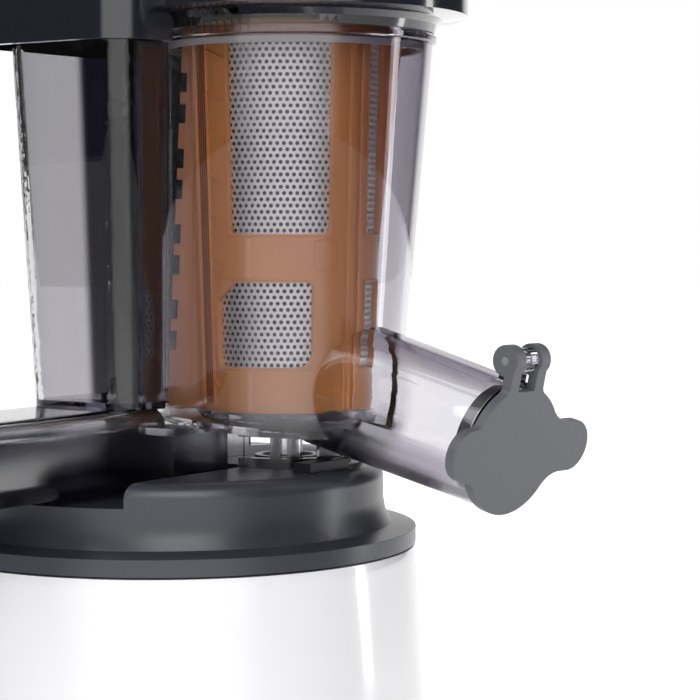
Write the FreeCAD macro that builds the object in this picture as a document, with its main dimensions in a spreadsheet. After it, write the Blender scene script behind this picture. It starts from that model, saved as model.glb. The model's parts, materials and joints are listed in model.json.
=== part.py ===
"""Vertical slow juicer: a parametric model, one object per piece, in millimetres.

Frame: +Z up, origin on the table under the middle of the machine's bounding box. The juice spout
points nearly along -Y, the pulp chute along -X, and the rear column stands behind the bowl. Pieces
are drawn about the axis of the round base, and each finished piece is then moved to that origin.
"""
import FreeCAD, Part
import Sketcher
import math
import os
import re

V = FreeCAD.Vector
UP = V(0, 0, 1)

doc = FreeCAD.newDocument("slow_juicer")
sheet = doc.addObject("Spreadsheet::Sheet", "sizes")

# ---------------------------------------------------------------------------------------------
# Driving dimensions
# ---------------------------------------------------------------------------------------------
SIZES = {
    # fits and walls
    "shell_wall": 3.0, "bowl_wall": 2.8, "seat_gap": 0.3, "running_gap": 0.05, "slide_gap": 0.4,
    # round base
    "foot_height": 4.0, "foot_radius": 9.0, "foot_circle": 86.0,
    "plate_thickness": 3.0, "plate_rise": 2.0, "housing_foot_radius": 110.0,
    "housing_top_radius": 97.6, "housing_shoulder": 4.0, "housing_shoulder_draw": 1.0,
    "collar_bottom": 150.0, "collar_seam": 0.8, "collar_radius": 98.0, "collar_band": 6.4,
    "ledge_rise": 1.6, "flare_draw": 3.2, "flare_rise": 10.0, "deck_radius": 85.0,
    "deck_top": 182.0, "deck_round": 7.0, "boss_radius": 5.0, "boss_height": 38.0,
    "boss_inset": 11.0, "web_angle": 3.4, "vent_length": 46.0, "vent_width": 2.6, "vent_pitch": 6.0,
    "vent_count": 9,
    # drive
    "axis_x": 23.0, "axis_y": -41.0, "fine_module": 1.25, "coarse_module": 1.5,
    "pinion_teeth": 10, "wheel_teeth": 50, "gear_backlash": 0.25, "idler_direction": 118.0,
    "motor_direction": 115.0, "fine_width": 9.0, "coarse_width": 13.0, "gear_floor_gap": 2.0,
    "gear_layer_gap": 2.0, "box_bottom": 88.0, "box_wall": 3.0, "box_depth": 34.0,
    "box_cover": 4.0, "box_gap": 3.0, "shaft_radius": 6.0, "idler_radius": 3.0,
    "motor_shaft_radius": 4.0, "bush_wall": 3.0, "bush_length": 7.0, "hex_flats": 12.0,
    "hex_length": 44.0, "hex_clearance": 0.2, "seal_wall": 4.0, "seal_height": 5.0,
    "stator_radius": 38.0, "stator_bore": 23.0, "stator_length": 56.0, "air_gap": 0.6,
    "rotor_end_gap": 4.0, "fan_radius": 33.0, "fan_thickness": 2.0, "fan_blade": 7.0, "fan_blades": 9,
    "fan_gap": 5.0, "shaft_tail": 6.0, "post_radius": 6.0,
    "output_post_left_angle": -165.0, "output_post_right_angle": 20.0,
    "idler_post_left_angle": 75.0, "idler_post_right_angle": 65.0,
    "screw_radius": 1.8, "screw_head_radius": 3.6, "screw_head": 2.4, "screw_length": 14.0,
    # bowl
    "drum_top_x": 25.0, "drum_top_y": -43.0, "drum_top_radius": 55.0, "drum_low_x": 20.0,
    "drum_low_y": -37.0, "drum_low_radius": 48.4, "drum_low": 190.0, "bowl_rim": 350.0,
    "rim_bead": 1.2, "rim_bead_height": 4.0, "floor_front": 194.0, "floor_slope": 5.0,
    "floor_front_y": -86.0, "skirt_radius": 30.0, "window_sill": 4.0, "window_height": 8.0,
    "hub_radius": 12.0, "stand_radius": 35.5,
    "well_gap": 1.0, "chamber_left": 52.0, "chamber_right": 21.0, "chamber_front": 20.0,
    "chamber_back": 42.0, "chamber_draft": 6.0, "chamber_round": 11.0, "chamber_floor": 205.0,
    "chute_length": 126.0, "chute_front": 21.0, "chute_back": 31.0, "chute_bottom": 175.0,
    "chute_top": 206.0, "chute_round": 8.0, "chute_root": 16.0,
    "chute_lane": 4.0, "chute_root_left": 45.0, "chute_root_top": 199.5, "chute_mouth": 29.0,
    "port_reach": 30.0, "port_width": 14.0, "port_direction": 163.0, "skirt_wall": 2.5,
    "spout_x": 6.0, "spout_end_y": -151.5, "spout_end_z": 195.7, "spout_length": 88.0,
    "spout_yaw": 8.0, "spout_tilt": 13.0, "spout_radius": 24.1, "spout_root_radius": 26.2,
    "spout_wall": 2.5,
    # spout cap
    "cap_gap": 0.4, "cap_plate": 4.0, "cap_left_reach": 25.0, "cap_right_reach": 34.0,
    "cap_lobe_radius": 9.8, "cap_lobe_drop": 1.2, "cap_core_radius": 24.2, "cap_core_drop": 1.0,
    "cap_left_fillet": 4.0, "cap_right_fillet": 13.0, "cap_neck_fillet": 3.0, "cap_plug_length": 7.6,
    "cap_plug_gap": 1.5, "cap_plug_wall": 2.0, "cap_lug_width": 5.2, "cap_lug_gap": 9.2,
    "cap_lug_radius": 5.8, "cap_hinge_rise": 32.2, "cap_pivot_in": 0.3, "cap_pin_radius": 1.6,
    "cap_tab_width": 8.4, "cap_ring_width": 1.6, "cap_ring_depth": 1.0, "cap_ring_gap": 0.5,
    # filter and auger
    "filter_top": 355.0, "filter_bottom": 203.6, "filter_top_radius": 38.5,
    "filter_low_radius": 34.0, "filter_wall": 2.2, "filter_turn": -51.0, "flange_top": 40.6,
    "flange_low": 47.4, "flange_thickness": 3.2, "flange_right_top": 46.4, "tab_depth": 2.4,
    "tab_start": 226.6, "tab_long": 9.8, "tab_notch": 7.7, "tab_short": 4.4, "filter_rim": 3.0,
    "filter_rim_height": 5.0, "screen_thickness": 0.6, "screen_lap": 3.0, "window_high_top": 346.0,
    "window_high_low": 272.0, "window_low_top": 254.0, "window_low_low": 221.0,
    "window_high_start": 40.0, "window_low_start": 51.0, "window_sweep": 64.0, "window_side_start": 53.0,
    "window_side_sweep": 26.0, "auger_top": 352.0, "auger_low": 206.2, "auger_gap": 1.2,
    "auger_core_top": 13.0, "auger_core_low": 25.0, "flight_thickness": 4.0, "flight_turns": 3.2,
    "auger_neck_radius": 7.0, "auger_neck": 14.0, "insert_radius": 11.0, "insert_roof": 1.0,
    "hex_end_gap": 2.0, "auger_foot_radius": 29.0,
    # lid
    "brim_radius": 68.5, "brim_low": 357.0, "brim_height": 8.0, "neck_gap": 0.3, "neck_lip": 2.6,
    "lip_gap": 0.9, "lid_wall": 3.0, "lid_side_low": 345.0, "lid_side_overhang": 5.0, "lid_top": 368.0,
    "feed_x": 16.0, "feed_y": -28.0, "feed_radius": 39.0, "feed_top": 440.0, "feed_wall": 2.6,
    "feed_rim": 6.0, "feed_rim_height": 4.0, "pusher_gap": 0.8, "pusher_clear": 4.0,
    "pusher_cap_height": 9.0, "pusher_cap_overhang": 5.0, "pusher_wall": 2.4, "lid_seal": 2.4,
    "lid_bush_wall": 2.5,
    # rear column
    "column_x": 38.0, "column_y": 52.0, "column_width": 28.0, "column_depth": 14.0,
    "column_top": 344.0, "column_round": 6.0, "column_foot": 8.0, "column_foot_height": 6.0,
    "button_radius": 4.0, "button_travel": 3.0, "button_length": 14.0,
    # controls and power
    "switch_width": 22.0, "switch_height": 15.0, "switch_depth": 16.0, "switch_z": 66.0,
    "rocker_gap": 0.4, "rocker_proud": 3.0, "rocker_pin_radius": 1.5, "grommet_radius": 7.0,
    "grommet_bore": 3.6, "grommet_z": 24.0, "board_width": 60.0, "board_depth": 42.0, "board_thickness": 1.6,
    "board_margin": 5.0, "can_radius": 10.0, "can_height": 20.0, "coil_radius": 7.0,
    "coil_height": 14.0, "lock_width": 26.0, "lock_depth": 8.0, "lock_height": 3.8, "lock_x": 3.0,
    "lock_y": -71.6, "lock_post": 7.0, "lock_post_height": 1.0, "lug_gap": 1.0, "lug_width": 11.0,
    "lug_drop": 11.0,
}


def cell_name(row):
    """Cell address of the size in a row, filling columns A (name) and B (value)."""
    return "B" + str(row)


for row, (alias, value) in enumerate(SIZES.items(), start=1):
    sheet.set("A" + str(row), alias)
    sheet.set(cell_name(row), str(value))
    sheet.setAlias(cell_name(row), alias)
doc.recompute()


def bind(text):
    """Expression text in which every bare size name refers to the sheet."""
    return re.sub(r"[A-Za-z_]\w*", lambda m: "sizes." + m.group() if m.group() in SIZES else m.group(),
                  str(text))


def value(text):
    """Number that an expression in the sheet's names gives now."""
    result = sheet.evalExpression(bind(text))
    return float(getattr(result, "Value", result))


# ---------------------------------------------------------------------------------------------
# Building blocks
# ---------------------------------------------------------------------------------------------
def place(item, x="0", y="0", z="0", axis=UP, angle="0"):
    """Put an object at a point, turned about an axis, all driven by the sheet."""
    item.Placement = FreeCAD.Placement(V(), FreeCAD.Rotation(axis, value(angle)))
    for letter, text in zip("xyz", (x, y, z)):
        item.setExpression("Placement.Base." + letter, bind(text))
    if value(angle):
        item.setExpression("Placement.Rotation.Angle", bind(angle))
    return item


def cylinder(name, radius, height, x="0", y="0", z="0", axis=UP, angle="0", sweep=None):
    item = doc.addObject("Part::Cylinder", name)
    item.setExpression("Radius", bind(radius))
    item.setExpression("Height", bind(height))
    if sweep:
        item.setExpression("Angle", bind(sweep))
    return place(item, x, y, z, axis, angle)


def box(name, low, high, axis=UP, angle="0"):
    """Box between two corners; a turned box turns about its low corner."""
    item = doc.addObject("Part::Box", name)
    for side, start, end in zip(("Length", "Width", "Height"), low, high):
        item.setExpression(side, bind("(%s) - (%s)" % (end, start)))
    return place(item, *low, axis, angle)


def join(name, pieces, refine=True):
    item = doc.addObject("Part::MultiFuse", name)
    item.Shapes = pieces
    item.Refine = refine
    return item


def overlap(name, pieces):
    item = doc.addObject("Part::MultiCommon", name)
    item.Shapes = pieces
    return item


def carve(name, base, tools, refine=True):
    """Base with all the tools cut away."""
    item = doc.addObject("Part::Cut", name)
    item.Base = base
    item.Tool = tools[0] if len(tools) == 1 else join(name + "_tools", tools)
    item.Refine = refine
    return item


def draw(sketch, points):
    """Close a polygon whose corners are pairs of sheet expressions."""
    spots = [(value(px), value(py)) for px, py in points]
    for here, ahead in zip(spots, spots[1:] + spots[:1]):
        sketch.addGeometry(Part.LineSegment(V(*here, 0), V(*ahead, 0)))
    count = len(points)
    for index in range(count):
        sketch.addConstraint(Sketcher.Constraint("Coincident", index, 2, (index + 1) % count, 1))
    for index, pair in enumerate(points):
        for kind, text, spot in zip(("DistanceX", "DistanceY"), pair, spots[index]):
            number = sketch.addConstraint(Sketcher.Constraint(kind, -1, 1, index, 1, spot))
            sketch.setExpression("Constraints[%d]" % number, bind(text))


def body_sketch(body, plane, name):
    sketch = body.newObject("Sketcher::SketchObject", name)
    support = [item for item in body.Origin.OriginFeatures if item.Role == plane][0]
    sketch.AttachmentSupport = [(support, "")]
    sketch.MapMode = "FlatFace"
    return sketch


def turned(name, points, x="0", y="0", rings=(), softness="0"):
    """Body of revolution about the vertical through (x, y), from (radius, height) corners."""
    body = doc.addObject("PartDesign::Body", name)
    sketch = body_sketch(body, "XZ_Plane", name + "_profile")
    draw(sketch, points)
    spin = body.newObject("PartDesign::Revolution", name + "_turn")
    spin.Profile = sketch
    spin.ReferenceAxis = (sketch, ["V_Axis"])
    spin.Angle = 360
    if rings:
        doc.recompute()
        soften(body, spin, rings, softness)
    return place(body, x, y)


def soften(body, feature, rings, softness):
    """Fillet the circular edges of a turned body that lie at the given (radius, height)."""
    wanted = [(value(radius), value(height)) for radius, height in rings]
    names = []
    for number, edge in enumerate(feature.Shape.Edges, start=1):
        curve = edge.Curve
        if isinstance(curve, Part.Circle):
            spot = (curve.Radius, curve.Center.z)
            if any(math.dist(spot, target) < 1e-4 for target in wanted):
                names.append("Edge%d" % number)
    if len(names) < len(wanted):
        raise RuntimeError("an edge to round is missing on " + body.Name)
    fillet = body.newObject("PartDesign::Fillet", feature.Name + "_round")
    fillet.Base = (feature, names)
    fillet.setExpression("Radius", bind(softness))


def slab(name, points, thickness, plane="XY_Plane", midplane=False, flipped=False):
    """Body padded from a polygon of sheet expressions."""
    body = doc.addObject("PartDesign::Body", name)
    sketch = body_sketch(body, plane, name + "_outline")
    draw(sketch, points)
    pad = body.newObject("PartDesign::Pad", name + "_pad")
    pad.Profile = sketch
    pad.setExpression("Length", bind(thickness))
    pad.Midplane = midplane
    pad.Reversed = flipped
    return body


def ring_at(name, x, y, z, radius):
    """Circle sketch that a loft passes through."""
    sketch = doc.addObject("Sketcher::SketchObject", name)
    sketch.addGeometry(Part.Circle(V(value(x), value(y), 0), UP, value(radius)))
    for kind, text in (("DistanceX", x), ("DistanceY", y)):
        number = sketch.addConstraint(Sketcher.Constraint(kind, -1, 1, 0, 3, value(text)))
        sketch.setExpression("Constraints[%d]" % number, bind(text))
    number = sketch.addConstraint(Sketcher.Constraint("Radius", 0, value(radius)))
    sketch.setExpression("Constraints[%d]" % number, bind(radius))
    sketch.setExpression("Placement.Base.z", bind(z))
    return sketch


def polygon_at(name, z, points):
    sketch = doc.addObject("Sketcher::SketchObject", name)
    draw(sketch, points)
    sketch.setExpression("Placement.Base.z", bind(z))
    return sketch


def loft(name, sections):
    item = doc.addObject("Part::Loft", name)
    item.Sections = sections
    item.Solid = True
    item.Ruled = True
    return item


def rounded(name, base, keep, radius):
    """Fillet the straight edges of a base that the test keeps."""
    doc.recompute()
    item = doc.addObject("Part::Fillet", name)
    item.Base = base
    edges = [n for n, edge in enumerate(base.Shape.Edges, start=1) if keep(edge)]
    item.Edges = [(number, value(radius), value(radius)) for number in edges]
    return item


def direction_of(edge):
    return (edge.lastVertex().Point - edge.firstVertex().Point).normalize()


def along(axis, slack=0.99):
    """Test for edges that run along an axis, give or take a little draft."""
    return lambda edge: abs(direction_of(edge).dot(axis)) > slack


def polar(radius, degrees):
    """Expressions of the x and y of a point on a circle."""
    return "(%s) * cos(%s)" % (radius, degrees), "(%s) * sin(%s)" % (radius, degrees)


def around(count, start, radius):
    """Expression pairs of points evenly spaced round a circle."""
    return [polar(radius, start + 360.0 * number / count) for number in range(count)]


def settle(name, shape, x="0", y="0", z="0"):
    """Piece whose outline comes from a formula: its shape first, then its place."""
    item = doc.addObject("Part::Feature", name)
    item.Shape = shape
    return place(item, x, y, z)


parts = {}


# The middle of the bounding box: the chute's mouth and the base bound it along X, the cap's eyes
# and the cord grommet along Y.
MIDDLE_X = "(housing_foot_radius - chute_length) / 2"
FRONT_Y = ("spout_end_y + cap_pivot_in * cos(spout_yaw) * cos(spout_tilt) - (cap_lug_gap / 2 + "
           "cap_lug_width) * sin(spout_yaw) - (cap_hinge_rise * sin(spout_tilt) + cap_lug_radius) * "
           "cos(spout_yaw)")
MIDDLE_Y = "(housing_foot_radius + shell_wall + %s) / 2" % FRONT_Y


def finish(name, item):
    """Register an object as a finished piece under its node name, moved to the origin."""
    own = dict((path.lstrip("."), text) for path, text in item.ExpressionEngine)
    for letter, middle in (("x", MIDDLE_X), ("y", MIDDLE_Y)):
        path = "Placement.Base." + letter
        item.setExpression(path, "(%s) - (%s)" % (own.get(path, "0"), bind(middle)))
    item.Label = name
    parts[name] = item
    return item


# ---------------------------------------------------------------------------------------------
# Round base: housing, bottom plate, feet, collar
# ---------------------------------------------------------------------------------------------
HOUSING_TOP = "collar_bottom - collar_seam"
INNER_TOP = "housing_top_radius - shell_wall"
INNER_FOOT = "housing_foot_radius - shell_wall"
PLATE_LOW = "foot_height + plate_rise"
PLATE_TOP = "foot_height + plate_rise + plate_thickness"
PLATE_RADIUS = "housing_foot_radius - 2 * shell_wall"
BOSS_CIRCLE = "housing_foot_radius - boss_inset"
PLATE_SCREWS = around(4, 45, BOSS_CIRCLE)


def housing_radius(z):
    """Outer radius of the tapered housing at a height."""
    return ("housing_foot_radius - (housing_foot_radius - housing_top_radius) * (%s - foot_height) / "
            "(collar_bottom - foot_height)" % z)


def housing():
    shell = turned("housing_shell", [
        (INNER_FOOT, "foot_height"), ("housing_foot_radius", "foot_height"),
        ("housing_top_radius + housing_shoulder_draw", HOUSING_TOP + " - housing_shoulder"),
        ("housing_top_radius", HOUSING_TOP), (INNER_TOP, HOUSING_TOP)])
    bosses = [cylinder("housing_boss_%d" % number, "boss_radius", "boss_height", x, y, PLATE_TOP)
              for number, (x, y) in enumerate(PLATE_SCREWS)]
    ring = turned("housing_ledge", [
        (PLATE_RADIUS, PLATE_TOP), (INNER_FOOT + " + shell_wall / 2", PLATE_TOP),
        (INNER_FOOT + " + shell_wall / 2", PLATE_TOP + " + shell_wall"),
        (PLATE_RADIUS + " - shell_wall", PLATE_TOP + " + shell_wall"),
        (PLATE_RADIUS + " - shell_wall", PLATE_TOP)])
    webs = [cylinder("boss_web_%d" % number, "housing_foot_radius", "boss_height", z=PLATE_TOP,
                     angle="%g - web_angle / 2" % (45 + 90 * number), sweep="web_angle")
            for number in range(len(PLATE_SCREWS))]
    mid_wall = turned("web_limit", [
        ("0", "foot_height"), (INNER_FOOT + " + shell_wall / 2", "foot_height"),
        (INNER_TOP + " + shell_wall / 2", HOUSING_TOP), ("0", HOUSING_TOP)])
    core = cylinder("web_core", BOSS_CIRCLE, HOUSING_TOP)
    gussets = carve("boss_gussets", overlap("webs_inside", [join("web_set", webs), mid_wall]), [core])
    holes = [cylinder("housing_pilot_%d" % number, "screw_radius", "screw_length", x, y, PLATE_TOP)
             for number, (x, y) in enumerate(PLATE_SCREWS)]
    window = box("switch_window", ("housing_top_radius - 2 * shell_wall", "-switch_width / 2",
                                   "switch_z - switch_height / 2"),
                 ("housing_foot_radius + shell_wall", "switch_width / 2", "switch_z + switch_height / 2"))
    inlet = cylinder("grommet_hole", "grommet_radius", "8 * shell_wall", "0",
                     "housing_foot_radius - 6 * shell_wall", "grommet_z", V(-1, 0, 0), "90")
    solid = join("housing_body", [shell, ring, gussets] + bosses)
    return carve("motor_housing", solid, holes + [window, inlet])


finish("motor_housing", housing())


def base_plate():
    disc = cylinder("plate_disc", PLATE_RADIUS, "plate_thickness", z=PLATE_LOW)
    holes = [cylinder("plate_hole_%d" % number, "screw_radius", "plate_thickness", x, y, PLATE_LOW)
             for number, (x, y) in enumerate(PLATE_SCREWS)]
    first = "-(vent_count - 1) / 2 * vent_pitch - vent_width / 2"
    vents = [box("plate_vent_%d" % number,
                 ("%s + %d * vent_pitch" % (first, number), "-vent_length / 2", PLATE_LOW),
                 ("%s + %d * vent_pitch + vent_width" % (first, number), "vent_length / 2", PLATE_TOP))
             for number in range(round(value("vent_count")))]
    return carve("base_plate", disc, holes + vents)


def feet():
    pads = [cylinder("foot_%d" % number, "foot_radius", PLATE_LOW, x, y)
            for number, (x, y) in enumerate(around(4, 0, "foot_circle"))]
    return join("rubber_feet", pads)


def screws(name, spots, seat, length):
    """Pan-head screws driven upwards from a shared seat height."""
    pieces = []
    for number, (x, y) in enumerate(spots):
        shank = cylinder("%s_shank_%d" % (name, number), "screw_radius", length, x, y, seat)
        head = cylinder("%s_head_%d" % (name, number), "screw_head_radius", "screw_head", x, y,
                        seat + " - screw_head")
        pieces.append(join("%s_%d" % (name, number), [shank, head]))
    return join(name, pieces)


LEDGE_TOP = "collar_bottom + collar_band + ledge_rise"
FLARE_RADIUS = "deck_radius + flare_draw"
DECK_UNDER = "deck_top - shell_wall"
SPIGOT_LOW = "collar_bottom - 4 * shell_wall"
SPIGOT_RADIUS = "housing_top_radius - shell_wall - seat_gap"
BOSS_TOP = "deck_top + shell_wall"
SHAFT_SEAL_RADIUS = "shaft_radius + running_gap + seal_wall"
DECK_BOSS_RADIUS = "shaft_radius + running_gap + seal_wall + shell_wall"


def collar():
    shell = turned("collar_shell", [
        (SPIGOT_RADIUS, SPIGOT_LOW), (SPIGOT_RADIUS, "collar_bottom"),
        ("collar_radius", "collar_bottom"), ("collar_radius", "collar_bottom + collar_band"),
        (FLARE_RADIUS, LEDGE_TOP), ("deck_radius + flare_draw / 4", LEDGE_TOP + " + flare_rise / 2"),
        ("deck_radius", LEDGE_TOP + " + flare_rise"), ("deck_radius", "deck_top"), ("0", "deck_top"),
        ("0", DECK_UNDER), ("deck_radius - shell_wall", DECK_UNDER),
        ("deck_radius - shell_wall", LEDGE_TOP),
        (SPIGOT_RADIUS + " - shell_wall", "collar_bottom"), (SPIGOT_RADIUS + " - shell_wall", SPIGOT_LOW)],
        rings=[("deck_radius", "deck_top")], softness="deck_round - shell_wall / 4")
    boss = cylinder("deck_boss", DECK_BOSS_RADIUS, "shell_wall + seal_height", "axis_x", "axis_y",
                    "deck_top - seal_height")
    trough = chute_trough("trough_liner", "shell_wall", "deck_top")
    posts = [cylinder("collar_post_%d" % number, "post_radius", DECK_UNDER + " - (" + BOX_TOP + ")", x, y,
                      BOX_TOP)
             for number, (x, y) in enumerate(post_spots())]
    inside = turned("collar_envelope", [
        ("0", SPIGOT_LOW), (FLARE_RADIUS, SPIGOT_LOW), (FLARE_RADIUS, LEDGE_TOP),
        ("deck_radius", LEDGE_TOP + " + flare_rise"), ("deck_radius", "deck_top - deck_round"),
        ("deck_radius - deck_round", "deck_top"), ("0", "deck_top")])
    liner = overlap("trough_inside", [trough, inside])
    pocket = chute_trough("trough_pocket", "0", "deck_top + shell_wall")
    bore = cylinder("deck_bore", "shaft_radius + seat_gap", "8 * shell_wall", "axis_x", "axis_y",
                    "deck_top - 4 * shell_wall")
    seat = cylinder("seal_seat", SHAFT_SEAL_RADIUS, "seal_height", "axis_x", "axis_y",
                    BOSS_TOP + " - seal_height")
    bolts = [cylinder("post_pilot_%d" % number, "screw_radius", "screw_length", x, y, BOX_TOP)
             for number, (x, y) in enumerate(post_spots())]
    return carve("top_collar", join("collar_body", [shell, boss, liner] + posts),
                 [pocket, bore, seat] + bolts)


TROUGH_FLOOR = "chute_bottom - chute_lane / 2"


def chute_trough(name, skin, top):
    """Channel across the collar that the pulp chute lies in, grown by a skin of material."""
    lane = "chute_lane / 2 + " + skin
    return box(name, ("-collar_radius", "-(chute_front + chute_root + %s)" % lane,
                      TROUGH_FLOOR + " - " + skin),
               ("chute_lane / 2 + " + skin, "chute_back + " + lane, top))


# ---------------------------------------------------------------------------------------------
# Drive: gearbox, gear train, motor
# ---------------------------------------------------------------------------------------------
FINE_SPAN = "fine_module * (pinion_teeth + wheel_teeth) / 2"
COARSE_SPAN = "coarse_module * (pinion_teeth + wheel_teeth) / 2"
IDLER_X = "axis_x + %s * cos(idler_direction)" % COARSE_SPAN
IDLER_Y = "axis_y + %s * sin(idler_direction)" % COARSE_SPAN
MOTOR_X = IDLER_X + " + %s * cos(motor_direction)" % FINE_SPAN
MOTOR_Y = IDLER_Y + " + %s * sin(motor_direction)" % FINE_SPAN
FINE_TIP = "fine_module * (wheel_teeth / 2 + 1)"
COARSE_TIP = "coarse_module * (wheel_teeth / 2 + 1)"
BOX_FLOOR = "box_bottom + box_wall"
BOX_RIM = "box_bottom + box_depth"
BOX_TOP = "box_bottom + box_depth + box_cover"
FINE_LOW = BOX_FLOOR + " + gear_floor_gap"
COARSE_LOW = FINE_LOW + " + fine_width + gear_layer_gap"


def post_spots():
    """Four screw posts between the collar and the gearbox, clear of the gears."""
    spots = []
    output_turns = ("output_post_left_angle", "output_post_right_angle")
    idler_turns = ("motor_direction + idler_post_left_angle", "motor_direction - idler_post_right_angle")
    for centre_x, centre_y, tip, turns in (("axis_x", "axis_y", COARSE_TIP, output_turns),
                                           (IDLER_X, IDLER_Y, FINE_TIP, idler_turns)):
        for degrees in turns:
            x, y = polar(tip + " + box_gap + post_radius", degrees)
            spots.append((centre_x + " + " + x, centre_y + " + " + y))
    return spots


def box_outline(name, skin, low, height):
    """Three joined rounds that follow the gear train, plus the screw ears."""
    rounds = [
        cylinder(name + "_output", COARSE_TIP + " + box_gap + " + skin, height, "axis_x", "axis_y", low),
        cylinder(name + "_idler", FINE_TIP + " + box_gap + " + skin, height, IDLER_X, IDLER_Y, low),
        cylinder(name + "_motor", "fine_module * (pinion_teeth / 2 + 1) + 2 * box_gap + " + skin, height,
                 MOTOR_X, MOTOR_Y, low)]
    return rounds


def ears(name, low, height):
    return [cylinder("%s_ear_%d" % (name, number), "post_radius", height, x, y, low)
            for number, (x, y) in enumerate(post_spots())]


def ear_holes(name, low, height):
    return [cylinder("%s_screw_hole_%d" % (name, number), "screw_radius", height, x, y, low)
            for number, (x, y) in enumerate(post_spots())]


def gearbox_tray():
    outer = join("tray_outer", box_outline("tray", "box_wall", "box_bottom", "box_depth") +
                 ears("tray", "box_bottom", "box_depth"))
    inner = join("tray_inner", box_outline("tray_room", "0", BOX_FLOOR, "box_depth"))
    holes = [
        cylinder("tray_output_hole", "shaft_radius + running_gap + bush_wall", "box_wall", "axis_x",
                 "axis_y", "box_bottom"),
        cylinder("tray_idler_hole", "idler_radius", "box_wall", IDLER_X, IDLER_Y, "box_bottom"),
        cylinder("tray_motor_hole", "motor_shaft_radius + running_gap + bush_wall", "box_wall", MOTOR_X,
                 MOTOR_Y, "box_bottom")]
    return carve("gearbox_tray", outer, [inner] + holes + ear_holes("tray", "box_bottom", "box_depth"))


def gearbox_cover():
    outer = join("cover_outer", box_outline("cover", "box_wall", BOX_RIM, "box_cover") +
                 ears("cover", BOX_RIM, "box_cover"))
    holes = [
        cylinder("cover_output_hole", "shaft_radius + running_gap + bush_wall", "box_cover", "axis_x",
                 "axis_y", BOX_RIM),
        cylinder("cover_idler_hole", "idler_radius", "box_cover", IDLER_X, IDLER_Y, BOX_RIM)]
    return carve("gearbox_cover", outer, holes + ear_holes("cover", BOX_RIM, "box_cover"))


def bush(name, bore, x, y, low, length):
    sleeve = cylinder(name + "_sleeve", bore + " + running_gap + bush_wall", length, x, y, low)
    return carve(name, sleeve, [cylinder(name + "_bore", bore + " + running_gap", length, x, y, low)])


def tooth_half_angle(module, teeth, radius, thinning):
    """Half the angle that an involute tooth takes at a radius; 20 degree pressure angle."""
    pitch = module * teeth / 2
    pressure = math.radians(20)
    base = pitch * math.cos(pressure)
    here = math.acos(min(1.0, base / max(radius, base)))
    involute = (math.tan(pressure) - pressure) - (math.tan(here) - here)
    return math.pi / (2 * teeth) - thinning / (2 * pitch) + involute


def gear_face(module, teeth, bore, phase):
    """Flat spur gear with its bore; the middle of one tooth points along the phase angle."""
    pitch = module * teeth / 2
    root = pitch - 1.25 * module
    tip = pitch + module
    steps = [root + (tip - root) * share for share in (0, 0.25, 0.5, 0.75, 1)]
    corners = []
    for number in range(teeth):
        middle = phase + 2 * math.pi * number / teeth
        halves = [(radius, tooth_half_angle(module, teeth, radius, value("gear_backlash")))
                  for radius in steps]
        turns = [(radius, middle - half) for radius, half in halves]
        turns += [(radius, middle + half) for radius, half in reversed(halves)]
        corners += [V(radius * math.cos(turn), radius * math.sin(turn), 0) for radius, turn in turns]
    outline = Part.makePolygon(corners + corners[:1])
    hole = Part.Wire(Part.makeCircle(bore))
    return Part.makeFace([outline, hole], "Part::FaceMakerBullseye")


def gear(name, module, teeth, bore, width, x, y, low, phase):
    face = gear_face(value(module), round(value(teeth)), value(bore), phase)
    return settle(name, face.extrude(V(0, 0, value(width))), x, y, low)


def mesh_phase(direction, teeth):
    """Phase of a follower whose gap faces a tooth that points at it along a direction."""
    return math.radians(value(direction)) + math.pi + math.pi / round(value(teeth))


def gears():
    output_phase = math.radians(value("idler_direction"))
    gear_set = {
        "output_gear": gear("output_gear", "coarse_module", "wheel_teeth", "shaft_radius", "coarse_width",
                            "axis_x", "axis_y", COARSE_LOW, output_phase),
        "idler_pinion": gear("idler_pinion", "coarse_module", "pinion_teeth", "idler_radius + running_gap",
                             "coarse_width", IDLER_X, IDLER_Y, COARSE_LOW,
                             mesh_phase("idler_direction", "pinion_teeth")),
        "idler_wheel": gear("idler_wheel", "fine_module", "wheel_teeth", "idler_radius + running_gap",
                            "fine_width + gear_layer_gap", IDLER_X, IDLER_Y, FINE_LOW,
                            math.radians(value("motor_direction"))),
        "motor_pinion": gear("motor_pinion", "fine_module", "pinion_teeth", "motor_shaft_radius",
                             "fine_width", MOTOR_X, MOTOR_Y, FINE_LOW,
                             mesh_phase("motor_direction", "pinion_teeth")),
    }
    for name, item in gear_set.items():
        finish(name, item)


def hexagon(name, flats, low, height, x, y):
    """Upright hexagonal bar, flat to flat."""
    reach = "(%s) / 2 / cos(30)" % flats
    points = [polar(reach, 60 * corner) for corner in range(6)]
    bar = slab(name, points, height)
    return place(bar, x, y, low)


SHAFT_LOW = "box_bottom - gear_floor_gap"
HEX_LOW = BOSS_TOP + " + seat_gap"


def drive_shaft():
    round_part = cylinder("shaft_round", "shaft_radius", HEX_LOW + " - (" + SHAFT_LOW + ")", "axis_x",
                          "axis_y", SHAFT_LOW)
    hex_part = hexagon("shaft_hex", "hex_flats", HEX_LOW, "hex_length", "axis_x", "axis_y")
    nose = cylinder("shaft_nose", "shaft_radius", HEX_LOW + " + hex_length - (" + SHAFT_LOW + ")", "axis_x",
                    "axis_y", SHAFT_LOW)
    return join("drive_shaft", [round_part, overlap("shaft_top", [hex_part, nose])])


STATOR_TOP = "box_bottom"
STATOR_LOW = "box_bottom - stator_length"
ROTOR_LOW = STATOR_LOW + " + rotor_end_gap"
FAN_TOP = STATOR_LOW + " - fan_gap"
FAN_LOW = FAN_TOP + " - fan_thickness - fan_blade"
MOTOR_SHAFT_LOW = FAN_LOW + " - shaft_tail"


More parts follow.
